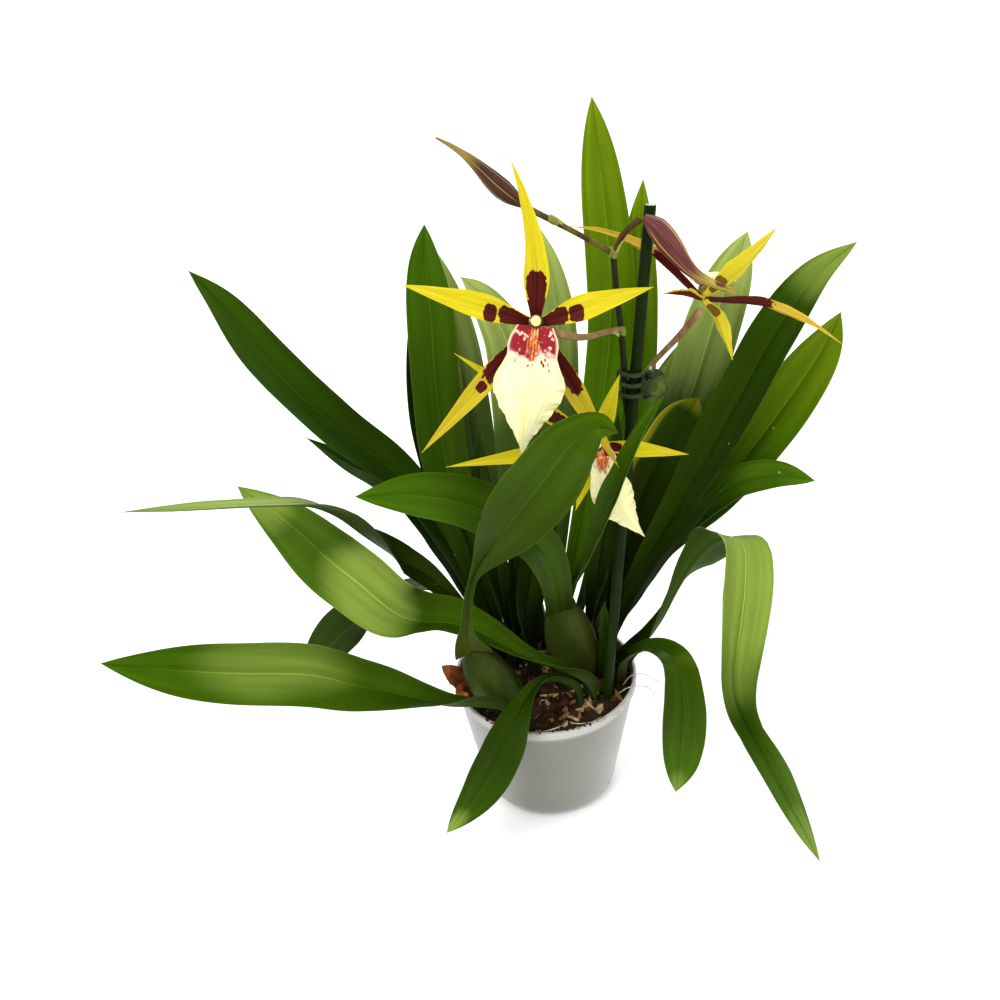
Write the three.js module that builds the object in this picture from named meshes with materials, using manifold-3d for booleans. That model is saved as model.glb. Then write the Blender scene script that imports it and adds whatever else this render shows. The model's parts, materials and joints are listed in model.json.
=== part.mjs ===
// Potted brassidium orchid: a clump of strap leaves and flattened bulbs in a plastic pot,
// with one flower spike clipped to a stake. Millimetres, +Z up, front of the plant towards -Y.
// The origin is the middle of the pot's underside.

import * as THREE from 'three';
import { mergeVertices } from 'three/addons/utils/BufferGeometryUtils.js';
import Module from 'manifold-3d';

const wasm = await Module();
wasm.setup();

// Driving dimensions
const GAP = 0.35;
const POT = { rim: 60, base: 44.5, height: 90, wall: 1.4, floor: 2, band: 5.5, lip: 1.2, corner: 8, sides: 40 };
const DRAIN = { holes: 5, radius: 5, ring: 28, sides: 8 };
const SOIL = { top: 85.3, flat: 49, edge: 82, bottom: 2.4, sides: 30 };
const FOOT = 85.9;
const STAKE = { foot: [38, -24], head: [65, 0], headZ: 391, depth: 27, radius: 3.15 };
const STEM_RADIUS = 2.0;
const LEAF = { thick: 1.3, edge: 0.65, end: 0.6, step: 29 };
const ACROSS = [-1, -0.5, 0, 0.5, 1];
const TEPAL = { thick: 1.1, edge: 0.65, step: 11 };
const CLIP = {
  z: 296, height: 18, ring: 6.3, bar: 1.7, tine: 2.2, tines: 3,
  pin: 0.9, knuckle: 2.2, pad: 6.2, padThick: 1.8, padReach: 4, padStand: 6.6, padSplay: 12,
};

const COLOURS = {
  pot: 0xe9e9ea,
  soil: 0x3a2015,
  root: 0xcdbf9f,
  bulb: 0x4c6129,
  leaf: 0x3b6a17,
  deepLeaf: 0x1f4210,
  paleLeaf: 0x6f9430,
  dryLeaf: 0x7c4526,
  stem: 0x45301f,
  bud: 0x5f2c33,
  tepal: 0xe2d52a,
  lip: 0xf4f0b4,
  column: 0xf2e98a,
  stake: 0x1d3b22,
  clip: 0x4b6350,
};

// Directions that a blade's upper face can look in
const UP = [0, 0, 1];
const FRONT = [0, -1, 0];
const BACK = [0, 1, 0];
const LEFT = [-1, 0, 0];
const RIGHT = [1, 0, 0];
const VIEW = [0, -0.8, 0.6];

const vec = (p) => new THREE.Vector3(p[0], p[1], p[2]);
const mix = (a, b, k) => a + (b - a) * k;
const smooth = (k) => k * k * (3 - 2 * k);
const clamp01 = (k) => Math.min(1, Math.max(0, k));
const radians = THREE.MathUtils.degToRad;

function seeded(seed) {
  let state = seed;
  return () => {
    state = (state * 1664525 + 1013904223) % 4294967296;
    return state / 4294967296;
  };
}

// A value that runs evenly through a list as t goes from 0 to 1
function along(list, t) {
  const place = clamp01(t) * (list.length - 1);
  const start = Math.min(Math.floor(place), list.length - 2);
  return mix(list[start], list[start + 1], place - start);
}

function lookAlong(list, t) {
  return vec([0, 1, 2].map((axis) => along(list.map((look) => look[axis]), t)));
}

// Closed solid from rings of points, each ring having the same number of points
function ringSolid(rings) {
  const size = rings[0].length;
  const positions = rings.flat().flatMap((p) => [p.x, p.y, p.z]);
  const faces = [];
  for (let i = 0; i + 1 < rings.length; i++) {
    for (let j = 0; j < size; j++) {
      const a = i * size + j;
      const b = i * size + ((j + 1) % size);
      faces.push(a, b, b + size, a, b + size, a + size);
    }
  }
  return { positions, faces, size, last: (rings.length - 1) * size };
}

function geometryOf(positions, faces) {
  const geometry = new THREE.BufferGeometry();
  geometry.setAttribute('position', new THREE.Float32BufferAttribute(positions, 3));
  geometry.setIndex(faces);
  geometry.computeVertexNormals();
  return geometry;
}

// Round stem of changing radius along a curve
function taperedRod(points, radii, sides = 8, steps = 12) {
  const curve = new THREE.CatmullRomCurve3(points.map(vec), false, 'centripetal');
  const frames = curve.computeFrenetFrames(steps, false);
  const rings = [];
  for (let i = 0; i <= steps; i++) {
    const centre = curve.getPointAt(i / steps);
    const radius = along(radii, i / steps);
    const ring = [];
    for (let j = 0; j < sides; j++) {
      const turn = (2 * Math.PI * j) / sides;
      ring.push(centre.clone()
        .addScaledVector(frames.normals[i], radius * Math.cos(turn))
        .addScaledVector(frames.binormals[i], radius * Math.sin(turn)));
    }
    rings.push(ring);
  }
  const { positions, faces, size, last } = ringSolid(rings);
  for (let j = 1; j + 1 < size; j++) {
    faces.push(0, j + 1, j, last, last + j, last + j + 1);
  }
  return geometryOf(positions, faces);
}

// Half the width of a blade at t, from its foot to its pointed tip
function halfWidth(blade, t) {
  const grown = mix(blade.foot, blade.width, smooth(clamp01((t - blade.neck) / (blade.widest - blade.neck))));
  const past = clamp01((t - blade.widest) / (1 - blade.widest));
  const sheath = blade.sheath * (1 - smooth(clamp01(t / blade.clasp)));
  return Math.max(blade.end, 0.5 * (grown * (1 - past ** blade.point) + sheath));
}

// Thin folded blade along its midrib. The upper face looks along `look`, and the two halves
// rise from the midrib by the angles in `fold`. Both faces are split into like triangles.
function bladeGeometry(spec) {
  const blade = {
    foot: 9, neck: 0, widest: 0.52, point: 2.7, sheath: 0, clasp: 0.2, fold: [60, 24, 14, 10, 12], across: ACROSS,
    thick: LEAF.thick, edge: LEAF.edge, end: LEAF.end, wave: 0, waves: 3, ...spec,
  };
  const curve = new THREE.CatmullRomCurve3(blade.path.map(vec), false, 'centripetal');
  curve.arcLengthDivisions = 400;
  const steps = blade.steps ?? Math.max(6, Math.round(curve.getLength() / (blade.step ?? LEAF.step)));
  const rings = [];
  for (let i = 0; i <= steps; i++) {
    const t = i / steps;
    const middle = curve.getPointAt(t);
    const tangent = curve.getTangentAt(t);
    const normal = lookAlong(blade.look, t);
    normal.addScaledVector(tangent, -normal.dot(tangent)).normalize();
    const side = new THREE.Vector3().crossVectors(tangent, normal);
    const half = halfWidth(blade, t);
    const lift = radians(along(blade.fold, t));
    const upper = [];
    const lower = [];
    for (const s of blade.across) {
      const ripple = blade.wave * s * s * Math.sin(2 * Math.PI * blade.waves * t + s) * Math.sin(Math.PI * t);
      const rise = half * Math.abs(s) ** 1.3 * Math.sin(lift) + ripple;
      const point = middle.clone().addScaledVector(side, half * s * Math.cos(lift)).addScaledVector(normal, rise);
      const out = normal.clone().multiplyScalar(s === 0 ? 1 : Math.cos(lift))
        .addScaledVector(side, -Math.sign(s) * Math.sin(lift));
      upper.push(point);
      lower.push(point.clone().addScaledVector(out, -mix(blade.thick, blade.edge, Math.abs(s))));
    }
    rings.push([...upper, ...lower.reverse()]);
  }
  const { positions, faces, size, last } = ringSolid(rings);
  for (let j = 0; j + 1 < size / 2; j++) {
    const k = size - 1 - j;
    faces.push(j, k, k - 1, j, k - 1, j + 1);
    faces.push(last + j, last + k - 1, last + k, last + j, last + j + 1, last + k - 1);
  }
  return geometryOf(positions, alikeDiagonals(faces, blade.across.length, steps));
}

// Splits the lower face's quads along the same diagonal as the upper face's
function alikeDiagonals(faces, count, steps) {
  const size = count * 2;
  const result = faces.slice();
  for (let i = 0; i < steps; i++) {
    for (let j = count; j < size - 1; j++) {
      const at = (i * size + j) * 6;
      const a = i * size + j;
      result.splice(at, 6, a, a + 1, a + size, a + 1, a + 1 + size, a + size);
    }
  }
  return result;
}

// Boolean helpers
function toSolid(geometry) {
  const bare = geometry.clone();
  bare.deleteAttribute('normal');
  bare.deleteAttribute('uv');
  const merged = mergeVertices(bare, 1e-4);
  return new wasm.Manifold(new wasm.Mesh({
    numProp: 3,
    vertProperties: new Float32Array(merged.attributes.position.array),
    triVerts: new Uint32Array(merged.index.array),
  }));
}

function toGeometry(solid) {
  const mesh = solid.getMesh();
  return geometryOf(Array.from(mesh.vertProperties), Array.from(mesh.triVerts));
}

const largest = (solid) => solid.decompose().reduce((big, next) => (next.volume() > big.volume() ? next : big));
const fuse = (geometries) => geometries.map(toSolid).reduce((whole, next) => whole.add(next));

function addMesh(group, name, geometry, colour, roughness = 0.55) {
  const material = new THREE.MeshStandardMaterial({ color: colour, roughness, metalness: 0 });
  const mesh = new THREE.Mesh(geometry, material);
  mesh.name = name;
  group.add(mesh);
  return mesh;
}

// Pot
function potRadius(z) {
  return mix(POT.base, POT.rim - POT.lip, z / (POT.height - POT.band));
}

function potGeometry() {
  const outline = [new THREE.Vector2(0, 0), new THREE.Vector2(POT.base - POT.corner, 0)];
  for (let k = 1; k <= 3; k++) {
    const turn = (Math.PI / 2) * (k / 3);
    outline.push(new THREE.Vector2(
      potRadius(POT.corner * (1 - Math.cos(turn))) - POT.corner * (1 - Math.sin(turn)),
      POT.corner * (1 - Math.cos(turn)),
    ));
  }
  const bandFoot = POT.height - POT.band;
  outline.push(new THREE.Vector2(potRadius(bandFoot), bandFoot));
  outline.push(new THREE.Vector2(POT.rim, bandFoot));
  outline.push(new THREE.Vector2(POT.rim, POT.height - 0.6));
  outline.push(new THREE.Vector2(POT.rim - 0.6, POT.height));
  outline.push(new THREE.Vector2(POT.rim - POT.lip - POT.wall + 0.4, POT.height));
  outline.push(new THREE.Vector2(potRadius(bandFoot) - POT.wall, bandFoot));
  outline.push(new THREE.Vector2(potRadius(POT.corner) - POT.wall, POT.corner));
  outline.push(new THREE.Vector2(potRadius(0) - POT.corner, POT.floor));
  outline.push(new THREE.Vector2(0, POT.floor));
  const shell = new THREE.LatheGeometry(outline, POT.sides).rotateX(Math.PI / 2);
  let solid = toSolid(shell);
  for (let k = 0; k < DRAIN.holes; k++) {
    const turn = (2 * Math.PI * k) / DRAIN.holes;
    const hole = new THREE.CylinderGeometry(DRAIN.radius, DRAIN.radius, 4 * POT.floor, DRAIN.sides).rotateX(Math.PI / 2);
    hole.translate(DRAIN.ring * Math.cos(turn), DRAIN.ring * Math.sin(turn), 0);
    solid = solid.subtract(toSolid(hole));
  }
  return toGeometry(solid);
}

// Stake
function stakeAt(z) {
  const k = (z - SOIL.top) / (STAKE.headZ - SOIL.top);
  return [mix(STAKE.foot[0], STAKE.head[0], k), mix(STAKE.foot[1], STAKE.head[1], k), z];
}

function stakeGeometry(extra = 0) {
  const low = vec(stakeAt(STAKE.depth - extra));
  const high = vec(stakeAt(STAKE.headZ + extra));
  const length = low.distanceTo(high);
  const rod = new THREE.CylinderGeometry(STAKE.radius + extra, STAKE.radius + extra, length, 12);
  const turn = new THREE.Quaternion().setFromUnitVectors(vec([0, 1, 0]), high.clone().sub(low).normalize());
  rod.applyQuaternion(turn);
  const middle = low.clone().add(high).multiplyScalar(0.5);
  return rod.translate(middle.x, middle.y, middle.z);
}

// Rhizome that creeps just under the surface, with roots that arch out of it and dive again
const RHIZOME = {
  path: [[-34, -27, 81.5], [-12, -20, 82], [20, -15, 82], [30, 4, 82], [14, 24, 82], [-18, 22, 82], [-38, 6, 81.5]],
  radius: 3.2,
};
const ROOTS = [
  { path: [[18, -18, 81], [24, -30, 86.6], [29, -38, 84], [31, -44, 70]], radius: 1.1 },
  { path: [[4, -18, 81], [6, -34, 82], [14, -42, 85.4], [20, -46, 82], [22, -47, 66]], radius: 1.0 },
  { path: [[-30, -26, 80], [-30, -36, 60], [-24, -38, 30]], radius: 1.5 },
  { path: [[22, -12, 80], [26, -14, 55], [18, -10, 22]], radius: 1.6 },
  { path: [[14, 22, 80], [18, 30, 56], [10, 34, 24]], radius: 1.6 },
  { path: [[-30, 10, 80], [-38, 12, 58], [-30, 20, 26]], radius: 1.5 },
];

function rhizomeSolid(extra = 0) {
  const stock = taperedRod(RHIZOME.path, [2.6 + extra, RHIZOME.radius + extra, 2.8 + extra], 6, 12);
  const roots = ROOTS.map(({ path, radius }) => taperedRod(path, [radius + extra, 0.8 * radius + extra], 5, 6));
  return fuse([stock, ...roots]);
}

// Substrate: one lumpy filling with chips of bark sunk in its top
function soilHeight(radius) {
  return mix(SOIL.top, SOIL.edge, smooth(clamp01((radius - SOIL.flat) / (potRadius(SOIL.edge) - SOIL.flat))));
}

function soilSolid() {
  const inner = (z) => potRadius(z) - POT.wall - GAP;
  const outline = [
    new THREE.Vector2(0, SOIL.bottom),
    new THREE.Vector2(potRadius(0) - POT.corner - 1, SOIL.bottom),
    new THREE.Vector2(inner(POT.corner + 1), POT.corner + 1),
    new THREE.Vector2(inner(SOIL.edge), SOIL.edge),
  ];
  for (const radius of [52, SOIL.flat, 25]) {
    outline.push(new THREE.Vector2(radius, soilHeight(radius)));
  }
  outline.push(new THREE.Vector2(0, SOIL.top));
  return toSolid(new THREE.LatheGeometry(outline, SOIL.sides).rotateX(Math.PI / 2));
}

function barkChip(x, y, z, size, spin, tilt) {
  const chip = new THREE.BoxGeometry(size[0], size[1], size[2]);
  const corner = chip.attributes.position;
  for (let i = 0; i < corner.count; i++) {
    const narrow = corner.getX(i) > 0 ? 0.6 : 1;
    corner.setXYZ(i, corner.getX(i), corner.getY(i) * narrow, corner.getZ(i) * narrow);
  }
  return chip.rotateY(tilt).rotateZ(spin).translate(x, y, z);
}

const BIG_BARK = [
  { at: [51, -17.5, 86], size: [9, 7, 7], spin: 1.2, tilt: -0.3 },
  { at: [45, -26, 84], size: [9, 7, 6], spin: 2.1, tilt: 0.3 },
  { at: [6, -48, 83.5], size: [11, 6, 5], spin: 0.2, tilt: 0.25 },
];

// Space inside the pot's wall, carried on straight up above the rim
function potSpace() {
  const inner = (z) => potRadius(z) - POT.wall - GAP;
  const top = POT.height - POT.band;
  const outline = [[0, 0], [inner(0), 0], [inner(top), top], [inner(top), 2 * top], [0, 2 * top]];
  const points = outline.map(([radius, z]) => new THREE.Vector2(radius, z));
  return toSolid(new THREE.LatheGeometry(points, SOIL.sides).rotateX(Math.PI / 2));
}

function soilGeometry(keepClear) {
  const draw = seeded(20);
  let solid = soilSolid();
  for (const { at, size, spin, tilt } of BIG_BARK) {
    solid = solid.add(toSolid(barkChip(...at, size, spin, tilt)));
  }
  let placed = 0;
  for (let tries = 0; tries < 400 && placed < 18; tries++) {
    const radius = 50 * Math.sqrt(draw());
    const turn = 2 * Math.PI * draw();
    const x = radius * Math.cos(turn);
    const y = radius * Math.sin(turn);
    const size = [mix(5, 9, draw()), mix(2.5, 4.5, draw()), mix(2, 3.2, draw())];
    const spin = Math.PI * draw();
    const tilt = mix(-0.4, 0.4, draw());
    if (keepClear.some(([cx, cy, reach]) => Math.hypot(x - cx, y - cy) < reach + size[0] / 2)) {
      continue;
    }
    solid = solid.add(toSolid(barkChip(x, y, soilHeight(radius), size, spin, tilt)));
    placed += 1;
  }
  const trimmed = solid.intersect(potSpace());
  return toGeometry(largest(trimmed.subtract(toSolid(stakeGeometry(GAP))).subtract(rhizomeSolid(GAP))));
}

// Bulbs: flattened ovals that stand on the surface and lean from foot to apex
const BULBS = {
  bulb_front: { foot: [22, -3], apex: [12.5, -3, 149], wide: 17, deep: 9 },
  bulb_left: { foot: [-27, -29], apex: [-43, -26, 132.5], wide: 17, deep: 9 },
  bulb_back_left: { foot: [-4, 43], apex: [-6, 47, 124], wide: 9, deep: 6 },
  bulb_back_right: { foot: [17, 41], apex: [20, 46, 116], wide: 8, deep: 6 },
};

function bulbGeometry({ foot, apex, wide, deep }) {
  const height = apex[2] - FOOT;
  const rows = 6;
  const outline = [new THREE.Vector2(0, 0)];
  for (let k = 0; k <= rows; k++) {
    const h = k / rows;
    const reach = h < 0.4 ? (0.4 - h) / 0.56 : (h - 0.4) / 0.61;
    outline.push(new THREE.Vector2(Math.sqrt(1 - reach * reach), h));
  }
  outline.push(new THREE.Vector2(0, 1));
  const bulb = new THREE.LatheGeometry(outline, 14).rotateX(Math.PI / 2);
  const corner = bulb.attributes.position;
  for (let i = 0; i < corner.count; i++) {
    const h = corner.getZ(i);
    corner.setXYZ(
      i,
      corner.getX(i) * wide + mix(foot[0], apex[0], h),
      corner.getY(i) * deep + mix(foot[1], apex[1], h),
      FOOT + h * height,
    );
  }
  return bulb;
}

// Leaves. Each has the points of its midrib from foot to tip, and the way its upper face looks.
const LEAVES = {
  leaf_left_long: {
    path: [[-34, 11, FOOT], [-37, 14, 110], [-47, 17, 149], [-60, 19, 192], [-84, 18, 236], [-116, 15, 272],
      [-147.5, 12, 317], [-166, 12, 352], [-178.5, 12, 370]],
    width: 30, foot: 11, widest: 0.6, point: 4, look: [RIGHT, [0.4, -0.6, 0.6], [0.3, -0.6, 0.7], [0.3, -0.6, 0.7]],
    fold: [50, 28, 24, 20, 14],
  },
  leaf_left_short: {
    path: [[-33, 21, FOOT], [-38, 22, 104], [-52, 24, 146], [-67, 26, 189], [-86, 22, 223], [-98, 21, 234],
      [-109, 20, 242], [-133, 16, 265]],
    width: 21, deep: true, look: [RIGHT, [0.3, -0.4, 0.8], [0, -0.4, 0.9]],
  },
  leaf_left_strap: {
    path: [[-30, 0, FOOT], [-37, 3, 110], [-54, 7, 143], [-71, 8.3, 166], [-84, 2.5, 182.5], [-93, -5, 198],
      [-103, -14, 215], [-115, -29, 239], [-126, -38, 251], [-146, -50, 260], [-181, -66, 270], [-212, -76, 276]],
    width: 24, foot: 10, neck: 0.15, widest: 0.48, point: 2.2,
    look: [RIGHT, [0.3, -0.6, 0.6], [0.1, -0.6, 0.7], [0, 0, 1], [0, 0.2, 0.9], [0, 0.2, 0.9], [0, -0.1, 1]],
  },
  leaf_left_broad: {
    path: [[30, -27, FOOT + 2], [25, -28.5, 102], [15.5, -29.5, 112], [1, -30, 119.5], [-15, -27.5, 127],
      [-29, -22.5, 134.5], [-42, -17, 140], [-58, -13, 144], [-75, -12, 146], [-89, -13, 152.5], [-111, -18, 183],
      [-126, -21, 204], [-142, -25, 230], [-165, -32, 262]],
    width: 42, foot: 13, neck: 0.12, widest: 0.58, point: 2.8, step: 22,
    look: [BACK, [0, 0.2, 1], [-0.1, 0, 1], [-0.1, -0.1, 1], [0, -0.6, 0.7], VIEW, VIEW, VIEW],
    fold: [40, 26, 24, 26, 34, 16, 8, 10, 12],
  },
  leaf_left_low: {
    path: [[-22, -40.5, FOOT + 0.4], [-29, -43, 98], [-43, -46, 105.5], [-61, -50, 111], [-84, -54, 122.5],
      [-113, -58, 137], [-138, -60, 149], [-183, -64, 158], [-220, -68, 167.5], [-250, -72, 178]],
    width: 37, widest: 0.55, point: 3, look: [BACK, UP, VIEW, VIEW, VIEW],
  },
  leaf_left_under: {
    path: [[-41, 17, FOOT], [-45, 18, 106], [-54, 20, 128], [-66, 19, 147], [-82, 15, 153], [-97, 11, 151],
      [-114, 5, 143], [-131, -1, 131], [-147, -6, 113], [-157, -9, 94]],
    width: 36, foot: 12, widest: 0.6, point: 2.6, deep: true,
    look: [RIGHT, [0.1, 0.2, 1], [-0.1, 0.5, 0.9], [-0.3, 0.9, 0], [-0.2, 0.9, -0.3]],
  },
  leaf_back_left: {
    path: [[-25, 26, FOOT], [-30, 27, 100], [-41, 30, 153], [-50, 32, 199], [-55, 33, 242], [-55.5, 34, 282],
      [-54.5, 34, 325], [-54.5, 32, 360], [-52.5, 30, 381]],
    width: 29.5, foot: 14, widest: 0.6, point: 5, look: [[0.5, -0.8, 0], [0.2, -1, 0], [0.1, -1, 0.1]],
    fold: [50, 24, 14, 10, 12],
  },
  leaf_back_left_dark: {
    path: [[-28, 36, FOOT], [-33, 36, 100], [-46, 41, 155], [-56, 44, 207], [-62, 46, 257], [-63, 47, 302],
      [-60, 46, 345]],
    width: 28, deep: true, look: [[0.5, -0.8, 0], [0.4, -0.9, 0], [0.3, -0.9, 0]],
  },
  leaf_back_middle: {
    path: [[-19, 38, FOOT], [-22, 38, 102], [-28, 42, 151], [-35, 46, 209], [-39, 49, 263], [-43, 49, 310],
      [-46, 48, 341], [-48, 46, 361]],
    width: 30, widest: 0.56, point: 4, pale: true, look: [[0.2, -1, 0], [0.1, -1, 0.1]],
  },
  leaf_back_curved: {
    path: [[-10, 32, FOOT], [-9, 34, 104], [-7, 38, 148], [-8, 45, 205], [-8, 47, 260], [-12, 47, 305],
      [-20, 46, 325], [-27, 45, 337], [-35.5, 44, 346]],
    width: 30, widest: 0.55, point: 5, pale: true, look: [[-0.2, -1, 0], [0, -1, 0.1], [0.2, -0.9, 0.4]],
  },
  leaf_back_tall: {
    path: [[1, 30, FOOT], [7, 33, 115], [13, 39, 176], [17, 42, 234], [19, 44, 284], [18, 43, 323], [15, 41, 350],
      [11, 40, 371]],
    width: 24, widest: 0.6, point: 4, pale: true, look: [FRONT, [0, -1, 0.1]],
  },
  leaf_small_point: {
    path: [[-23, 9, FOOT], [-24, 11, 128], [-28, 10, 174], [-31, 8, 211], [-33, 6, 241], [-31, 5, 266]],
    width: 17, look: [RIGHT, [0.4, -0.9, 0], [0.2, -1, 0]],
  },
  leaf_centre_tall: {
    path: [[6, 22, FOOT], [10, 24, 100], [23, 28.5, 157], [35.5, 32, 214], [44, 36, 267], [49, 38, 310],
      [49, 40, 351], [45, 42, 395], [40.5, 42, 438]],
    width: 27, widest: 0.6, point: 5.2, look: [[0.2, -1, 0], FRONT, [0, -1, 0.1]],
  },
  leaf_behind_stake: {
    path: [[20, 27, FOOT], [25, 30, 104], [44, 43.5, 163], [57, 47, 227], [66, 46, 280], [67, 44, 325],
      [66.5, 44, 360], [68, 42, 394]],
    width: 24, point: 5, look: [LEFT, [-0.5, -0.9, 0], [-0.2, -1, 0]],
  },
  leaf_front_big: {
    path: [[-44.5, -29, 132.9], [-47.5, -35, 150], [-46, -40, 170], [-43, -43.5, 190], [-37.5, -49, 208],
      [-20, -60, 240], [-1, -68, 270], [16, -74, 296], [29, -76, 305], [38, -76, 301]],
    width: 40, foot: 6.5, sheath: 18, clasp: 0.17, neck: 0.32, widest: 0.65, point: 3, step: 15,
    look: [FRONT, [0, -1, 0.1], [0.1, -1, 0.2], [0.2, -0.9, 0.5], [0.3, -0.8, 0.6], [0.3, -0.8, 0.6]],
    fold: [16, 34, 46, 24, 14, 10, 16],
  },
  leaf_front_oval: {
    path: [[10.5, -9, 143.6], [9.5, -15, 158], [7, -21, 181], [1.5, -26, 200], [-6, -31.5, 214], [-21, -38, 232],
      [-44, -44, 249], [-70, -50, 259], [-98, -56, 264]],
    width: 31, foot: 17, widest: 0.62, point: 2.5, step: 20,
    look: [[0.2, -1, 0.1], [0.2, -0.9, 0.4], [0.1, -0.7, 0.7], [0, -0.6, 0.8], VIEW], fold: [4, 12, 20, 10, 10],
  },
  leaf_front_folded: {
    path: [[20, -33.5, FOOT + 1], [18, -33, 100], [8, -34, 110], [-3, -40, 115.5], [-12, -50, 115],
      [-20.5, -60, 106], [-29, -66, 90], [-46.5, -74, 60], [-69.5, -80.5, 33]],
    width: 26, foot: 7, neck: 0.24, widest: 0.58, step: 16,
    look: [BACK, [0, 0.5, 1], [-0.1, -0.5, 0.9], VIEW, VIEW, VIEW], fold: [50, 40, 18, 10, 12],
  },
  leaf_right_front: {
    path: [[38, 13, FOOT], [45, 14, 106], [62.5, 17, 145], [84.5, 18, 190], [104, 18, 232], [123, 16, 275],
      [138, 14, 310], [157, 10, 344], [175.5, 4, 363]],
    width: 29, widest: 0.66, point: 3.4, look: [LEFT, [-0.5, -0.7, 0.5], [-0.4, -0.7, 0.5], [-0.3, -0.7, 0.6]],
    fold: [60, 30, 18, 14, 12],
  },
  leaf_right_back: {
    path: [[46, 22, FOOT], [53.5, 24.5, 112], [69, 27, 138], [86.5, 29, 163], [100, 30, 179.5], [113, 30, 195.5],
      [134.5, 30, 228], [154.5, 28, 262], [171, 24, 296], [176.5, 18, 319]],
    width: 35, foot: 8, neck: 0.16, widest: 0.62, point: 3.6, step: 26,
    look: [LEFT, [-0.5, -0.7, 0.5], [-0.4, -0.8, 0.5], [-0.3, -0.9, 0.4]], fold: [60, 40, 20, 10, 12],
  },
  leaf_right_small: {
    path: [[43, 17, FOOT], [52.5, 18.5, 114], [68, 20, 146], [90, 19, 180], [102, 18, 194.5], [112, 16, 206],
      [123, 13, 216], [145, 8, 222.5], [168, 5, 218]],
    width: 20, foot: 7, neck: 0.3, widest: 0.78, look: [LEFT, [-0.4, -0.5, 0.7], [0, -0.6, 0.8], [0, -0.7, 0.7]],
  },
  leaf_right_narrow: {
    path: [[38, 3, FOOT], [47, 1.5, 115], [59.5, 1, 144], [77, 1, 175], [95, 0, 202], [115, -2, 229]],
    width: 14, deep: true, look: [LEFT, [-0.6, -0.3, 0.7], [-0.5, -0.4, 0.7]],
  },
  leaf_right_bent: {
    path: [[50, 4, FOOT], [59, 3, 98], [68, 0, 112], [75.5, -5, 131.5], [81, -12, 153.5], [86, -21, 174],
      [92, -33, 195], [99, -43, 212], [106, -53, 220], [109, -62, 218], [108.5, -69, 209], [107.5, -74, 197],
      [105.5, -79, 184], [103, -84, 167], [101.5, -88, 151], [103, -92, 136], [109, -95, 121], [119, -98.5, 100],
      [130, -102, 76], [157, -107, 15]],
    width: 29, foot: 10, sheath: 7, neck: 0.19, widest: 0.4, point: 3.2, step: 20,
    look: [[-0.9, -0.3, 0.3], [-0.8, -0.1, 0.5], [-0.5, 0.5, 0.6], [0.4, 0.8, 0.2], [0.45, -0.2, 0.9],
      [0, -0.9, 0.3], [0, -1, 0.2], [0, -1, 0.1], [0.1, -0.9, 0.3], [0, -0.9, 0.3], [-0.2, -0.9, 0.3]],
    fold: [20, 30, 30, 20, 8, 24, 44, 58, 42, 36, 16],
  },
  leaf_right_hanging: {
    path: [[50, -9.7, FOOT], [52.3, -11, 103], [60, -14, 112.5], [67, -17, 117], [74, -24, 119.5],
      [79, -31.5, 118.5], [82, -38, 112], [83.5, -43, 98], [83.5, -47.5, 78], [82, -51, 53], [78.5, -54, 26]],
    width: 28, foot: 11, neck: 0.1, widest: 0.64, point: 2.6, step: 16,
    look: [[-0.7, 0.2, 0.5], [-0.2, 0.1, 1], [-0.1, -0.2, 1], [-0.1, -0.9, 0.4], [-0.2, -1, 0.2], [-0.2, -1, 0.2]],
    fold: [40, 20, 16, 14, 14],
  },
  leaf_back_right: {
    path: [[36, 34, FOOT], [42, 38, 104], [62, 43, 150], [82, 47, 203], [101, 48, 263], [112.5, 47, 310],
      [121, 45, 340], [127.5, 43, 361]],
    width: 33, widest: 0.6, point: 6, pale: true, look: [LEFT, [-0.4, -0.9, 0.1], [-0.2, -1, 0.1]],
  },
  leaf_back_right_short: {
    path: [[29, 43, FOOT], [41, 52, 102], [60, 61, 149], [76, 66, 199], [88.5, 67, 249], [98, 65, 290]],
    width: 34, widest: 0.58, point: 3.4, pale: true, look: [LEFT, [-0.4, -0.9, 0.1], [-0.2, -1, 0.1]],
  },
  leaf_right_cupped: {
    path: [[40.5, 30, FOOT], [48.5, 30.8, 107], [56.5, 34, 149], [66, 35.5, 191], [77.5, 36.5, 219],
      [89.5, 36, 243], [101.5, 33, 265]],
    width: 32, widest: 0.72, point: 6, deep: true,
    look: [LEFT, [-0.3, -0.9, 0.2], [-0.2, -0.9, 0.3], [-0.3, -0.9, 0.4]], fold: [60, 28, 16, 20, 28],
  },
  leaf_inner_left: {
    path: [[-9, 6, FOOT], [-11, 6, 110], [-9, 7, 140], [-3, 10, 171], [7, 13, 205], [17, 15, 237]],
    width: 20, foot: 14, widest: 0.4, deep: true, look: [RIGHT, [0.1, -0.9, 0.3], [0.2, -0.9, 0.2]],
  },
  leaf_inner_right: {
    path: [[29, 16.5, FOOT], [32, 17, 104], [37, 19, 147], [44, 22, 190], [50, 24, 230], [52, 25, 263]],
    width: 16, deep: true, look: [LEFT, [-0.3, -0.9, 0.2], [-0.3, -0.9, 0.2]],
  },
  leaf_apex_narrow: {
    path: [[17, -2.5, 148.9], [19.5, -6, 160], [24.5, -17, 180], [34, -38, 222], [42, -47, 253], [50, -51, 278],
      [57, -54, 297], [64, -55, 309]],
    width: 18, foot: 5, look: [[-0.9, -0.1, 0], [-0.7, -0.4, 0.4], [-0.8, -0.3, 0.5]], fold: [50, 40, 34, 30, 20],
  },
  sheath_front: {
    path: [[39, -9, FOOT], [39.8, -9, 106], [39.5, -8.5, 128], [38.5, -8, 148]],
    width: 10, foot: 9, widest: 0.4, look: [[-0.3, -0.95, 0], [-0.3, -0.95, 0]], fold: [16, 16, 14],
  },
};

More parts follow.
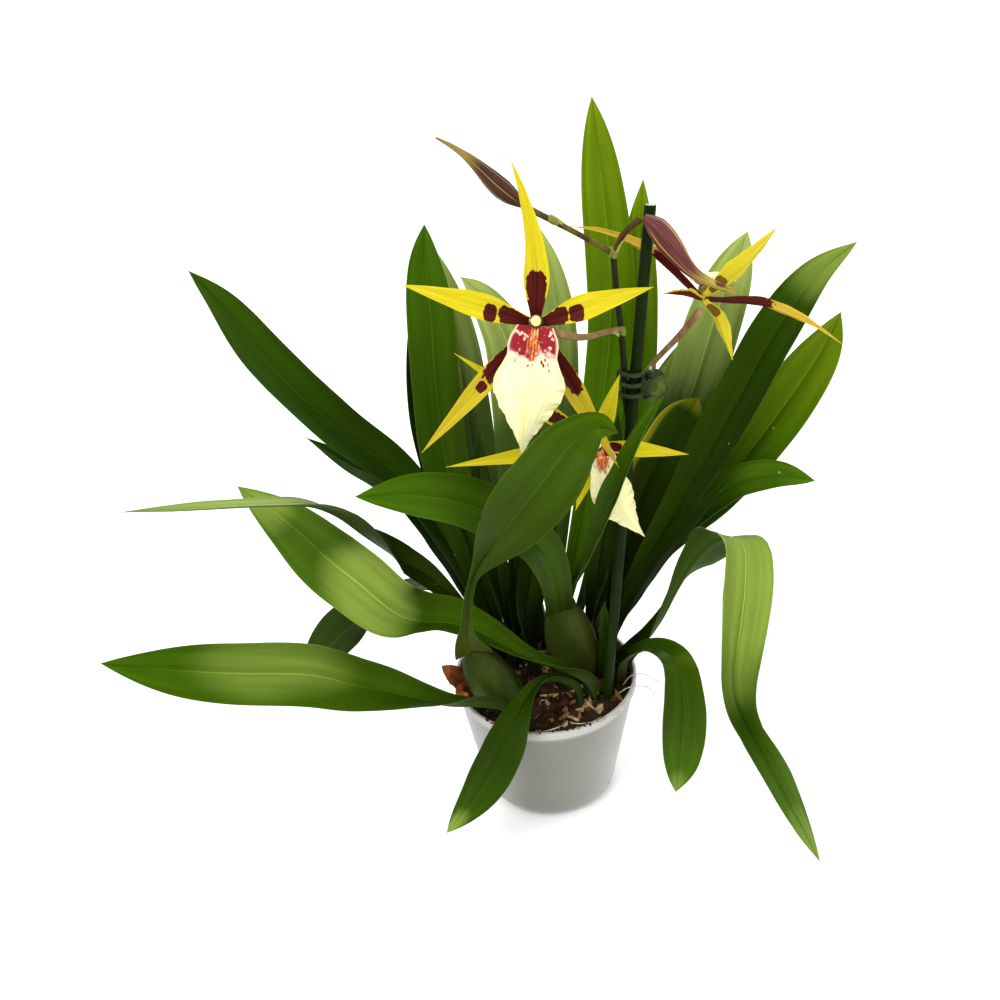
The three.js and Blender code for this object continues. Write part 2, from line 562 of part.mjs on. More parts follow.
// The same leaf with its foot just clear of the surface below it, if it stands on the substrate
function seated(leaf) {
  const [x, y, z] = leaf.path[0];
  if (z > FOOT + 3) {
    return leaf;
  }
  const corners = bladeGeometry(leaf).attributes.position;
  let lowest = z;
  for (let i = 0; i < 2 * ACROSS.length; i++) {
    lowest = Math.min(lowest, corners.getZ(i));
  }
  const ground = soilHeight(Math.hypot(x, y));
  return { ...leaf, path: [[x, y, z + ground + GAP - lowest], ...leaf.path.slice(1)] };
}

function leafColour({ deep, pale }) {
  if (deep) {
    return COLOURS.deepLeaf;
  }
  return pale ? COLOURS.paleLeaf : COLOURS.leaf;
}

// Flower spike with its pedicels
const SPIKE = [[42, -14, FOOT], [42, -15, 112], [44.7, -12.5, 150], [49, -8.6, 200], [53, -5, 245], [54, -3, 272],
  [51.9, -4.3, 286], [51, -7, 297], [50.5, -8.8, 307], [49.6, -10, 318], [48.5, -10, 330], [46.5, -8, 350], [45, -6, 371]];
const PEDICELS = [
  { path: [[48.5, -10, 329], [40, -18, 331], [26, -28, 333], [14, -34, 338], [4.9, -38.5, 344.7]], radii: [1.5, 1.6, 2, 2.2] },
  { path: [[53.4, -4.5, 258], [56, 4, 272], [62, 9, 288], [70, 8, 301], [81, -2, 319], [87.5, -10, 332], [90, -12.6, 337.6]],
    radii: [1.4, 1.4, 1.6, 1.9, 2.1] },
  { path: [[53, -5, 250], [47, -4, 254], [41, -6, 258], [36.5, -11, 262], [34.7, -16, 265]],
    radii: [1.4, 1.5, 1.7, 2] },
  { path: [[45, -6, 369], [25, -12, 383], [7, -18, 395], [-1, -21.4, 400.4]], radii: [1.6, 1.4, 1.5, 1.7] },
  { path: [[45, -6, 369], [50, -8, 379], [58, -9.6, 386.5]], radii: [1.6, 1.6, 1.8] },
];
const BUDS = {
  bud_left: {
    path: [[-1.5, -21.6, 401], [-12, -24, 411], [-25, -26, 425], [-33, -27, 431.5], [-40, -28, 436]],
    radii: [1.8, 4.2, 5, 4.5, 3.4, 2.4, 1.5, 1, 0.6],
  },
  bud_right: {
    path: [[60, -10.3, 387.6], [66, -12.2, 383], [73, -16, 374], [84, -22, 361], [104, -28, 351]],
    radii: [2, 5.8, 6.6, 6, 4.6, 3.4, 2.4, 1.6, 0.9],
  },
};

function spikeGeometry() {
  const stem = taperedRod(SPIKE, [2.4, 2.1, STEM_RADIUS, 1.8, 1.6], 6, 20);
  const stalks = PEDICELS.map(({ path, radii }) => taperedRod(path, radii, 6, 6));
  return toGeometry(fuse([stem, ...stalks]));
}

// Blooms. Each tepal runs from the centre to its tip, bowed towards or away from the bloom's face.
const BLOOMS = {
  bloom_front: {
    centre: [2, -42, 347], face: [-0.05, -0.85, 0.5],
    tepals: [
      { tip: [-5, -40, 423], width: 13, bow: 3, sway: 5 },
      { tip: [-62, -48, 374], width: 11.5, bow: 5 },
      { tip: [59, -48, 364], width: 11.5, bow: 5 },
      { tip: [-61, -50, 284], width: 10, bow: 0.5 },
      { tip: [42, -50, 267], width: 10, bow: 2 },
    ],
    lip: { tip: [-9, -55, 282], width: 37, bow: 6 },
  },
  bloom_back: {
    centre: [92, -9, 342], face: [0.3, 0.75, 0.6],
    tepals: [
      { tip: [25, 14, 379], width: 10, bow: 11 },
      { tip: [163, -24, 318], width: 10, bow: 9 },
      { tip: [127, -14, 379], width: 12, bow: -2 },
      { tip: [107, -20, 311], width: 9, bow: 6 },
      { tip: [67, -24, 352], width: 9, bow: 2 },
    ],
    lip: { tip: [112, 38, 338], width: 26, bow: 6 },
  },
  bloom_low: {
    centre: [34, -21, 266], face: [-0.1, -0.85, 0.5],
    tepals: [
      { tip: [-40, -33, 331], width: 10, bow: 4 },
      { tip: [46, -24, 309], width: 10, bow: 3 },
      { tip: [-50, -34, 266], width: 9, bow: 4 },
      { tip: [84, -26, 259], width: 9, bow: 2 },
      { tip: [20, -33, 232], width: 9, bow: -4 },
    ],
    lip: { tip: [59, -34, 212], width: 24, bow: 3.5, sway: 5 },
  },
};

// Blade between two points with its middle pushed towards the bloom's face by `bow`, and sideways by `sway`
function petalPath(from, to, face, bow, sway = 0) {
  const across = to.clone().sub(from).cross(face).normalize();
  const middle = from.clone().lerp(to, 0.45).addScaledVector(face, bow).addScaledVector(across, sway);
  const far = from.clone().lerp(to, 0.8).addScaledVector(face, bow * 0.6).addScaledVector(across, sway * 0.6);
  return [from, middle, far, to].map((p) => p.toArray());
}

function tepalsGeometry({ centre, face, tepals }) {
  const heart = vec(centre);
  const look = vec(face).normalize();
  const blades = tepals.map(({ tip, width, bow, sway }) => {
    const out = vec(tip).sub(heart).normalize();
    const start = heart.clone().addScaledVector(out, 0.8);
    return bladeGeometry({
      path: petalPath(start, vec(tip), look, bow, sway), look: [look.toArray(), look.toArray()], width, foot: 5,
      widest: 0.28, point: 1.05, fold: [14, 16, 14, 10], across: [-1, 0, 1], thick: TEPAL.thick,
      edge: TEPAL.edge, end: 0.45, step: TEPAL.step,
    });
  });
  const disc = new THREE.SphereGeometry(3.2, 8, 5);
  disc.translate(...heart.clone().addScaledVector(look, -1.2).toArray());
  return toGeometry(fuse([disc, ...blades]));
}

function lipGeometry({ centre, face, lip }) {
  const look = vec(face).normalize();
  const start = vec(centre).addScaledVector(look, 7.8);
  const tip = vec(lip.tip);
  const out = tip.clone().sub(start).normalize();
  start.addScaledVector(out, 2.2);
  return bladeGeometry({
    path: petalPath(start, tip, look, lip.bow, lip.sway), look: [look.toArray(), look.toArray()], width: lip.width,
    foot: 17, widest: 0.45, point: 1.6, fold: [-4, -8, -12, -12, -8], wave: 1.1, waves: 4, steps: 10,
    thick: TEPAL.thick, edge: TEPAL.edge,
  });
}

function columnGeometry({ centre, face }) {
  const look = vec(face).normalize();
  const start = vec(centre).addScaledVector(look, 2.4);
  const end = vec(centre).addScaledVector(look, 10);
  const middle = start.clone().lerp(end, 0.5);
  middle.z += 1.2;
  return taperedRod([start, middle, end].map((p) => p.toArray()), [1.5, 1.7, 2.1, 2.6, 2.7, 1.4], 8, 7);
}

// Clip: two jaws of curved tines on a pin beside the stake, each with a finger pad
function clipFrame() {
  const low = vec(stakeAt(CLIP.z - 1));
  const high = vec(stakeAt(CLIP.z + 1));
  const axis = high.sub(low).normalize();
  const right = vec(RIGHT).addScaledVector(axis, -axis.x).normalize();
  const back = new THREE.Vector3().crossVectors(axis, right);
  const place = new THREE.Matrix4().makeBasis(right, back, axis);
  return place.setPosition(...stakeAt(CLIP.z));
}

const CLIP_CENTRE = -2.4;
const CLIP_PIN = CLIP_CENTRE + CLIP.ring + CLIP.bar + CLIP.knuckle + 0.2;

function ringSector(inner, outer, from, to, height, z) {
  const shape = new THREE.Shape();
  shape.absarc(0, 0, outer, radians(from), radians(to), to < from);
  shape.absarc(0, 0, inner, radians(to), radians(from), to > from);
  shape.closePath();
  return new THREE.ExtrudeGeometry(shape, { depth: height, bevelEnabled: false, curveSegments: 5 })
    .translate(CLIP_CENTRE, 0, z);
}

function jawGeometry(side, offset) {
  const pitch = CLIP.height / CLIP.tines;
  const pieces = [];
  for (let k = 0; k < CLIP.tines; k++) {
    const z = -CLIP.height / 2 + k * pitch + offset;
    pieces.push(ringSector(CLIP.ring, CLIP.ring + CLIP.bar, side * 8, side * 188, CLIP.tine, z));
  }
  const spine = ringSector(CLIP.ring, CLIP.ring + CLIP.bar, side * 8, side * 40, CLIP.height - pitch + CLIP.tine,
    -CLIP.height / 2 + offset);
  pieces.push(spine);
  const knuckle = new THREE.CylinderGeometry(CLIP.knuckle, CLIP.knuckle, CLIP.tine, 8).rotateX(Math.PI / 2);
  for (const k of [0, CLIP.tines - 1]) {
    const z = -CLIP.height / 2 + k * pitch + offset + CLIP.tine / 2;
    pieces.push(knuckle.clone().translate(CLIP_PIN, 0, z));
    const arm = new THREE.BoxGeometry(4.2, 1.8, CLIP.tine);
    pieces.push(arm.translate(CLIP_PIN - 2.4, side * 1.6, z));
  }
  const slope = Math.tan(radians(CLIP.padSplay));
  const pad = new THREE.CylinderGeometry(CLIP.pad, CLIP.pad, CLIP.padThick, 14).rotateZ(radians(side * CLIP.padSplay));
  pieces.push(pad.translate(CLIP_PIN + CLIP.padReach, side * CLIP.padStand, 0));
  const lever = new THREE.BoxGeometry(9, CLIP.padThick, 6).rotateZ(radians(side * CLIP.padSplay));
  pieces.push(lever.translate(CLIP_PIN - 1.8, side * (CLIP.padStand - slope * (CLIP.padReach + 1.8)), 0));
  const bore = new THREE.CylinderGeometry(CLIP.pin + GAP, CLIP.pin + GAP, 2 * CLIP.height, 8).rotateX(Math.PI / 2);
  bore.translate(CLIP_PIN, 0, 0);
  return toGeometry(fuse(pieces).subtract(toSolid(bore)));
}

function pinGeometry() {
  const pin = new THREE.CylinderGeometry(CLIP.pin, CLIP.pin, CLIP.height + 1, 8).rotateX(Math.PI / 2);
  return pin.translate(CLIP_PIN, 0, 0);
}

// Dry sheath at the foot of the left bulb
function drySheathGeometry() {
  const outer = bladeGeometry({
    path: [[-47, -24, FOOT + 1], [-52, -24, 98], [-57, -23, 108], [-66, -22, 118]], width: 15, foot: 9,
    widest: 0.45, look: [[0.8, -0.4, 0.3], [0.4, -0.8, 0.4]], fold: [30, 24, 16], steps: 6,
  });
  const inner = bladeGeometry({
    path: [[-47, -24, FOOT + 1], [-52, -27, 99], [-54, -31, 104], [-55, -37, 98]], width: 11, foot: 9,
    widest: 0.4, look: [[0.8, -0.4, 0.3], [-0.2, -0.6, 0.8]], fold: [30, 20, 12], steps: 6,
  });
  return toGeometry(fuse([outer, inner]));
}

// Assembly
const orchid = new THREE.Group();
const feet = [
  ...Object.values(BULBS).map(({ foot, wide }) => [foot[0], foot[1], wide]),
  ...Object.values(LEAVES).map(({ path }) => [path[0][0], path[0][1], 8]),
  [SPIKE[0][0], SPIKE[0][1], 4],
  [...STAKE.foot, STAKE.radius + 1],
  ...ROOTS.slice(0, 2).flatMap(({ path }) => path.slice(1, 4).map(([x, y]) => [x, y, 2])),
];

addMesh(orchid, 'pot', potGeometry(), COLOURS.pot, 0.45);
addMesh(orchid, 'substrate', soilGeometry(feet), COLOURS.soil, 0.95);
addMesh(orchid, 'rhizome_roots', toGeometry(rhizomeSolid()), COLOURS.root, 0.8);
addMesh(orchid, 'stake', stakeGeometry(), COLOURS.stake, 0.5);
for (const [name, bulb] of Object.entries(BULBS)) {
  addMesh(orchid, name, bulbGeometry(bulb), COLOURS.bulb, 0.5);
}
for (const [name, leaf] of Object.entries(LEAVES)) {
  addMesh(orchid, name, bladeGeometry(seated(leaf)), leafColour(leaf), 0.45);
}
addMesh(orchid, 'dry_sheath', drySheathGeometry(), COLOURS.dryLeaf, 0.9);
addMesh(orchid, 'flower_spike', spikeGeometry(), COLOURS.stem, 0.5);
for (const [name, { path, radii }] of Object.entries(BUDS)) {
  addMesh(orchid, name, taperedRod(path, radii, 10, 12), COLOURS.bud, 0.5);
}
for (const [name, bloom] of Object.entries(BLOOMS)) {
  addMesh(orchid, `${name}_tepals`, tepalsGeometry(bloom), COLOURS.tepal, 0.5);
  addMesh(orchid, `${name}_lip`, lipGeometry(bloom), COLOURS.lip, 0.6);
  addMesh(orchid, `${name}_column`, columnGeometry(bloom), COLOURS.column, 0.5);
}

const clip = new THREE.Group();
clip.applyMatrix4(clipFrame());
addMesh(clip, 'clip_jaw_back', jawGeometry(1, 0), COLOURS.clip, 0.4);
addMesh(clip, 'clip_jaw_front', jawGeometry(-1, CLIP.tine + GAP), COLOURS.clip, 0.4);
addMesh(clip, 'clip_pin', pinGeometry(), COLOURS.clip, 0.4);
orchid.add(clip);

export default orchid;
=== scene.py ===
"""Potted brassidium orchid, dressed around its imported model.

Lengths are in millimetres while shapes are worked out and become metres when a mesh is made.
+Z is up, -Y is the front of the plant, and the origin is the middle of the pot's underside.
"""

import json
import logging
import math
from dataclasses import dataclass, replace
from enum import Enum
from typing import Iterable, Sequence

import bmesh
import bpy
import numpy as np
from mathutils import Matrix, Vector
from mathutils import noise as lattice

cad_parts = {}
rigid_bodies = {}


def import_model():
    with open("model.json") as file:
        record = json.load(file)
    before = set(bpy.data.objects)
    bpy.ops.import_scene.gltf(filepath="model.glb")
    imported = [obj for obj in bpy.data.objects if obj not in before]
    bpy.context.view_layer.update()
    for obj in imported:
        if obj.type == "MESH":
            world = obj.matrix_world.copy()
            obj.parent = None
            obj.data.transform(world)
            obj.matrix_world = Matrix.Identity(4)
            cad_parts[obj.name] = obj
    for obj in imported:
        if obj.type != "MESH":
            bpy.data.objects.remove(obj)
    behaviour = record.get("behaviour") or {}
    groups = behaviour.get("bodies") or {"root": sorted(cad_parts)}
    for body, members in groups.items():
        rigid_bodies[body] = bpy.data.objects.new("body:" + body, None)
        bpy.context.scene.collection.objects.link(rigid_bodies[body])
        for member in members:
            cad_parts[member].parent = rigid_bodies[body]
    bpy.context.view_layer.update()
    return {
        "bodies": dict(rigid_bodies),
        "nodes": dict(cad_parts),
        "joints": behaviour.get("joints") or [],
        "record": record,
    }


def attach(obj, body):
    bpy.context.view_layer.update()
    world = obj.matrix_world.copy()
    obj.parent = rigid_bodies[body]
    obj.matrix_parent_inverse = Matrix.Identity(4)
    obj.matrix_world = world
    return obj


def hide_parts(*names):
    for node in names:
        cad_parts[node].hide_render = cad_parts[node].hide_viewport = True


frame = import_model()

log = logging.getLogger("orchid")

Point = tuple[float, float, float]
Colour = tuple[float, float, float, float]
Array = np.ndarray
Piece = bpy.types.Object
Material = bpy.types.Material
Socket = bpy.types.NodeSocket
Value = Socket | float

MM = 0.001
FULL_TURN = 2 * math.pi
PLANT = "plant"
JAW = "clip_jaw"

UP: Point = (0.0, 0.0, 1.0)
FRONT: Point = (0.0, -1.0, 0.0)
BACK: Point = (0.0, 1.0, 0.0)
LEFT: Point = (-1.0, 0.0, 0.0)
RIGHT: Point = (1.0, 0.0, 0.0)
VIEW: Point = (0.0, -0.8, 0.6)


# Numbers and curves.


def colour(code: str) -> Colour:
    """Turns a screen colour into the linear one that a shader takes.

    Args:
        code: six hexadecimal digits, red first.

    Returns:
        Linear red, green, blue and an alpha of 1.
    """
    parts = [int(code[i : i + 2], 16) / 255 for i in (0, 2, 4)]
    linear = [p / 12.92 if p <= 0.04045 else ((p + 0.055) / 1.055) ** 2.4 for p in parts]
    return (linear[0], linear[1], linear[2], 1.0)


def along(values: Sequence, t: Array) -> Array:
    """Runs evenly through a list as t goes from 0 to 1.

    Args:
        values: numbers or points.
        t: places from 0 to 1.

    Returns:
        One number or point for each t.
    """
    table = np.asarray(values, float)
    place = np.clip(t, 0, 1) * (len(table) - 1)
    ticks = np.arange(len(table))
    if table.ndim == 1:
        return np.interp(place, ticks, table)
    return np.stack([np.interp(place, ticks, column) for column in table.T], axis=1)


def ease(k: Array) -> Array:
    """Smooth step from 0 to 1, level at both ends."""
    k = np.clip(k, 0, 1)
    return k * k * (3 - 2 * k)


def unit(vectors: Array) -> Array:
    """Each vector at length 1."""
    return vectors / np.maximum(np.linalg.norm(vectors, axis=-1, keepdims=True), 1e-9)


def as_points(rows: Iterable) -> tuple[Point, ...]:
    """Rows of an array as plain points."""
    return tuple(tuple(row) for row in rows)


def turns(sides: int) -> Array:
    """Angles of evenly spaced points on a circle."""
    return np.linspace(0, FULL_TURN, sides, endpoint=False)


class SmoothPath:
    """Smooth curve through given points, measured along its own length."""

    def __init__(self, points: Sequence[Point], fine: int = 48) -> None:
        """Samples the curve.

        Args:
            points: what the curve passes through, at least two of them.
            fine: samples between one point and the next.
        """
        knots = np.array(points, float)
        padded = np.vstack([2 * knots[0] - knots[1], knots, 2 * knots[-1] - knots[-2]])
        spans = [self._span(padded[i : i + 4], fine) for i in range(len(knots) - 1)]
        self.dense = np.vstack([*spans, knots[-1:]])
        steps = np.linalg.norm(np.diff(self.dense, axis=0), axis=1)
        self.travelled = np.concatenate([[0.0], np.cumsum(steps)])
        self.length = float(self.travelled[-1])
        self.slopes = unit(np.gradient(self.dense, self.travelled, axis=0))

    @staticmethod
    def _span(four: Array, fine: int) -> Array:
        """Samples the stretch between the middle two of four points."""
        p0, p1, p2, p3 = four
        d0, d1, d2 = (max(float(np.linalg.norm(b - a)) ** 0.5, 1e-4) for a, b in zip(four, four[1:]))
        start = ((p1 - p0) / d0 - (p2 - p0) / (d0 + d1) + (p2 - p1) / d1) * d1
        end = ((p2 - p1) / d1 - (p3 - p1) / (d1 + d2) + (p3 - p2) / d2) * d1
        square = 3 * (p2 - p1) - 2 * start - end
        cube = 2 * (p1 - p2) + start + end
        k = np.linspace(0, 1, fine, endpoint=False)[:, None]
        return p1 + start * k + square * k**2 + cube * k**3

    def _read(self, table: Array, t: Array) -> Array:
        """Reads a table of vectors at shares t of the curve's length."""
        distance = np.clip(t, 0, 1) * self.length
        return np.stack([np.interp(distance, self.travelled, column) for column in table.T], axis=1)

    def at(self, t: Array) -> Array:
        """Places on the curve at shares t of its length."""
        return self._read(self.dense, t)

    def tangent(self, t: Array) -> Array:
        """Directions of the curve at shares t of its length."""
        return unit(self._read(self.slopes, t))


# Meshes.


def add_object(name: str, data: bpy.types.ID) -> Piece:
    """Makes an object of a mesh, lamp or camera and links it to the scene."""
    piece = bpy.data.objects.new(name, data)
    bpy.context.scene.collection.objects.link(piece)
    return piece


def make_object(
    name: str,
    points: Array,
    faces: list[tuple[int, ...]],
    materials: Sequence[Material],
    face_slots: Sequence[int] | None = None,
    corners_uv: Array | None = None,
    crease: float = 50.0,
) -> Piece:
    """Makes a mesh object from points in millimetres.

    Args:
        name: the object's name.
        points: one row for each vertex.
        faces: vertex numbers of each face.
        materials: the object's materials, in order.
        face_slots: which material each face takes, or None for the first.
        corners_uv: one pair for each face corner, in the order of the faces.
        crease: edges that turn by more degrees than this stay sharp.

    Returns:
        The new object, linked to the scene.
    """
    mesh = bpy.data.meshes.new(name)
    mesh.from_pydata((np.asarray(points, float) * MM).tolist(), [], faces)
    for material in materials:
        mesh.materials.append(material)
    if face_slots is not None:
        mesh.polygons.foreach_set("material_index", list(face_slots))
    if corners_uv is not None:
        layer = mesh.uv_layers.new(name="UVMap")
        layer.data.foreach_set("uv", np.asarray(corners_uv, np.float32).ravel())
    mesh.shade_smooth()
    mesh.set_sharp_from_angle(angle=math.radians(crease))
    mesh.update()
    return add_object(name, mesh)


def ring_faces(rows: int, size: int) -> list[tuple[int, ...]]:
    """Faces between closed rings of points, with both ends capped.

    Args:
        rows: how many rings.
        size: how many points each ring has.

    Returns:
        Quads from ring to ring, then the two caps.
    """
    faces: list[tuple[int, ...]] = []
    for i in range(rows - 1):
        for j in range(size):
            a = i * size + j
            b = i * size + (j + 1) % size
            faces.append((a, b, b + size, a + size))
    last = (rows - 1) * size
    faces.append(tuple(range(size - 1, -1, -1)))
    faces.append(tuple(range(last, last + size)))
    return faces


def ring_uvs(v: Array, u: Array) -> Array:
    """Corner coordinates that go with ring_faces.

    Args:
        v: one value for each ring.
        u: one value for each point of a ring, and one more that closes it.

    Returns:
        One pair for each face corner.
    """
    size = len(u) - 1
    pairs = []
    for i in range(len(v) - 1):
        for j in range(size):
            pairs += [(u[j], v[i]), (u[j + 1], v[i]), (u[j + 1], v[i + 1]), (u[j], v[i + 1])]
    pairs += [(u[j], v[0]) for j in range(size - 1, -1, -1)]
    pairs += [(u[j], v[-1]) for j in range(size)]
    return np.array(pairs)


def ringed(
    name: str,
    rings: Array,
    materials: Sequence[Material],
    face_slots: Sequence[int] | None = None,
    uv: tuple[Array, Array] | None = None,
    crease: float = 50.0,
) -> Piece:
    """Makes a closed skin over a row of rings.

    Args:
        name: the object's name.
        rings: points, ring by ring.
        materials: the object's materials, in order.
        face_slots: which material each face takes, or None for the first.
        uv: coordinates from ring to ring, and round each ring.
        crease: edges that turn by more degrees than this stay sharp.

    Returns:
        The new object.
    """
    rows, size = rings.shape[:2]
    corners = ring_uvs(*uv) if uv else None
    points = rings.reshape(-1, 3)
    return make_object(name, points, ring_faces(rows, size), materials, face_slots, corners, crease)


def lathe(
    outline: Iterable[tuple[float, float]], sides: int, centre: tuple[float, float] = (0.0, 0.0)
) -> Array:
    """Rings round an upright axis.

    Args:
        outline: radius and height of each ring.
        sides: points of a ring.
        centre: where the axis stands.

    Returns:
        The points, ring by ring.
    """
    x, y = centre
    angles = turns(sides)
    return np.array([[(x + r * math.cos(a), y + r * math.sin(a), z) for a in angles] for r, z in outline])


def from_bmesh(name: str, whole: bmesh.types.BMesh, materials: Sequence[Material]) -> Piece:
    """Turns a finished bmesh into an object and frees it."""
    mesh = bpy.data.meshes.new(name)
    whole.to_mesh(mesh)
    whole.free()
    for material in materials:
        mesh.materials.append(material)
    return add_object(name, mesh)


def join(name: str, pieces: Sequence[Piece]) -> Piece:
    """Gathers several new objects into one, with their materials and coordinates.

    Args:
        name: the name of the whole.
        pieces: objects whose meshes are merged, and which are then removed.

    Returns:
        The merged object.
    """
    materials: list[Material] = []
    whole = bmesh.new()
    for piece in pieces:
        mesh = piece.data
        shift = []
        for material in mesh.materials:
            if material not in materials:
                materials.append(material)
            shift.append(materials.index(material))
        for polygon in mesh.polygons:
            polygon.material_index = shift[polygon.material_index] if shift else 0
        whole.from_mesh(mesh)
        bpy.data.objects.remove(piece)
        bpy.data.meshes.remove(mesh)
    return from_bmesh(name, whole, materials)


def settle(piece: Piece, nodes: Iterable[str], body: str = PLANT) -> None:
    """Fixes a finished piece to its body and lets it stand for CAD nodes.

    Args:
        piece: the finished object.
        nodes: the nodes it stands for.
        body: the body it rides on.
    """
    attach(piece, body)
    for node in nodes:
        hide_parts(node)
    log.info("%s: %d faces, rides on %s", piece.name, len(piece.data.polygons), body)


# Shaders.


@dataclass(frozen=True)
class Blotch:
    """A mark on a blade: centre and half size, along (0 to 1) and across (-1 to 1)."""

    t: float
    s: float
    long: float
    wide: float


@dataclass(frozen=True)
class Gleam(Blotch):
    """A soft painted highlight, a patch that stands for the lamps' reflection, and how much of the skin it
    covers.
    """

    share: float = 0.6


class Shader:
    """A material's node tree, built up with short calls. A colour may be given as its hexadecimal code."""

    def __init__(self, name: str, under: bool = False) -> None:
        """Starts a material with one principled surface.

        Args:
            name: the material's name.
            under: True where it covers the lower face of a blade.
        """
        self.material = bpy.data.materials.new(f"{name}_under" if under else name)
        self.material.use_nodes = True
        self.nodes = self.material.node_tree.nodes
        self.links = self.material.node_tree.links
        self.surface = self.nodes["Principled BSDF"]

    def put(self, value: Value | Colour | Point | str, socket: Socket) -> None:
        """Links a socket, or sets its constant."""
        if isinstance(value, Socket):
            self.links.new(value, socket)
        else:
            socket.default_value = colour(value) if isinstance(value, str) else value

    def fixed(self, **values: float | Colour | Point) -> None:
        """Sets constants on the surface; underscores stand for spaces."""
        for name, value in values.items():
            self.surface.inputs[name.replace("_", " ")].default_value = value

    def flesh(self, weight: float, radius: Point, scale: float = 0.002) -> None:
        """Lets light into the surface, by colour, to a depth in metres."""
        self.fixed(Subsurface_Weight=weight, Subsurface_Radius=radius, Subsurface_Scale=scale)

    def shine(self, level: float, tint: Colour = (1.0, 1.0, 1.0, 1.0)) -> None:
        """Sets the strength and tint of the surface's reflections."""
        self.fixed(Specular_IOR_Level=level, Specular_Tint=tint)

    def math(self, kind: str, a: Value, b: Value = 0.0, c: Value = 0.0) -> Socket:
        """One Math node."""
        node = self.nodes.new("ShaderNodeMath")
        node.operation = kind
        for value, socket in zip((a, b, c), node.inputs):
            self.put(value, socket)
        return node.outputs[0]

    def times(self, first: Value, *others: Value) -> Value:
        """Several values multiplied together."""
        for other in others:
            first = self.math("MULTIPLY", first, other)
        return first

    def add(self, a: Value, b: Value, c: Value) -> Socket:
        """The product of a and b, added to c."""
        return self.math("MULTIPLY_ADD", a, b, c)

    def sway(self, noise: Value, amount: float, base: Value) -> Socket:
        """A base value that swings up and down with a noise, which has its middle at 0.5."""
        return self.add(self.math("SUBTRACT", noise, 0.5), amount, base)

    def split(self, vector: Socket) -> list[Socket]:
        """The three parts of a vector."""
        node = self.nodes.new("ShaderNodeSeparateXYZ")
        self.links.new(vector, node.inputs[0])
        return list(node.outputs)

    def vector(self, x: Value, y: Value, z: Value) -> Socket:
        """A vector from three parts."""
        node = self.nodes.new("ShaderNodeCombineXYZ")
        for value, socket in zip((x, y, z), node.inputs):
            self.put(value, socket)
        return node.outputs[0]

    def uv(self) -> list[Socket]:
        """The two surface coordinates, across and along."""
        return self.split(self.nodes.new("ShaderNodeTexCoord").outputs["UV"])[:2]

    def place(self) -> Socket:
        """The point's own position, in metres."""
        return self.nodes.new("ShaderNodeTexCoord").outputs["Object"]

    def noise(self, where: Socket, scale: float, detail: float = 3.0, rough: float = 0.5) -> Socket:
        """Smooth noise from 0 to 1."""
        node = self.nodes.new("ShaderNodeTexNoise")
        for name, value in (("Vector", where), ("Scale", scale), ("Detail", detail), ("Roughness", rough)):
            self.put(value, node.inputs[name])
        return node.outputs["Fac"]

    def strands(
        self, u: Value, v: Value, many: float, short: float, drift: Value = 0.0, detail: float = 2.0
    ) -> Socket:
        """Noise drawn out along a blade.

        Args:
            u: the coordinate across the blade.
            v: the coordinate along it.
            many: how often it changes across the blade.
            short: how often it changes along it.
            drift: a third coordinate that bends the strands.
            detail: the noise's detail.

        Returns:
            Noise from 0 to 1.
        """
        return self.noise(self.vector(self.times(u, many), self.times(v, short), drift), 1.0, detail)

    def cells(self, where: Socket, scale: float) -> tuple[Socket, Socket]:
        """Distance to the nearest of scattered points, and that point's own random colour."""
        node = self.nodes.new("ShaderNodeTexVoronoi")
        self.put(where, node.inputs["Vector"])
        self.put(scale, node.inputs["Scale"])
        return node.outputs["Distance"], node.outputs["Color"]

    def dots(
        self, where: Socket, scale: float, size: tuple[float, float], few: tuple[float, float]
    ) -> Socket:
        """Scattered round dots.

        Args:
            where: the position they are drawn in.
            scale: how close together they may lie.
            size: distances from a dot's middle at which it begins and is full.
            few: shares of the points at which dots begin and all have one.

        Returns:
            1 in a dot and 0 outside.
        """
        distance, draw = self.cells(where, scale)
        return self.times(self.step(distance, *size), self.step(self.split(draw)[0], *few))

    def offset(self, v: Value, across: Value, spot: Blotch) -> tuple[Socket, Socket]:
        """How far a point lies from a mark's centre along and across, counted in its half sizes."""
        ahead = self.math("DIVIDE", self.math("SUBTRACT", v, spot.t), spot.long)
        aside = self.math("DIVIDE", self.math("SUBTRACT", across, spot.s), spot.wide)
        return ahead, aside

    def step(self, value: Value, low: float, high: float) -> Socket:
        """Smooth step from 0 at low to 1 at high; low may be the larger."""
        node = self.nodes.new("ShaderNodeMapRange")
        node.interpolation_type = "SMOOTHSTEP"
        rises = low < high
        ends = (value, min(low, high), max(low, high), 0.0 if rises else 1.0, 1.0 if rises else 0.0)
        for name, number in zip(("Value", "From Min", "From Max", "To Min", "To Max"), ends):
            self.put(number, node.inputs[name])
        return node.outputs["Result"]

    def blend(self, tint: Socket | Colour | str, other: Socket | Colour | str, *shares: Value) -> Socket:
        """Covers a colour with another one, by the product of some shares."""
        node = self.nodes.new("ShaderNodeMix")
        node.data_type = "RGBA"
        self.put(self.times(*shares), node.inputs[0])
        self.put(tint, node.inputs[6])
        self.put(other, node.inputs[7])
        return node.outputs[2]

    def scaled(self, tint: Socket, factor: Value) -> Socket:
        """Makes a colour lighter or darker by a factor."""
        node = self.nodes.new("ShaderNodeVectorMath")
        node.operation = "SCALE"
        self.put(tint, node.inputs[0])
        self.put(factor, node.inputs["Scale"])
        return node.outputs[0]

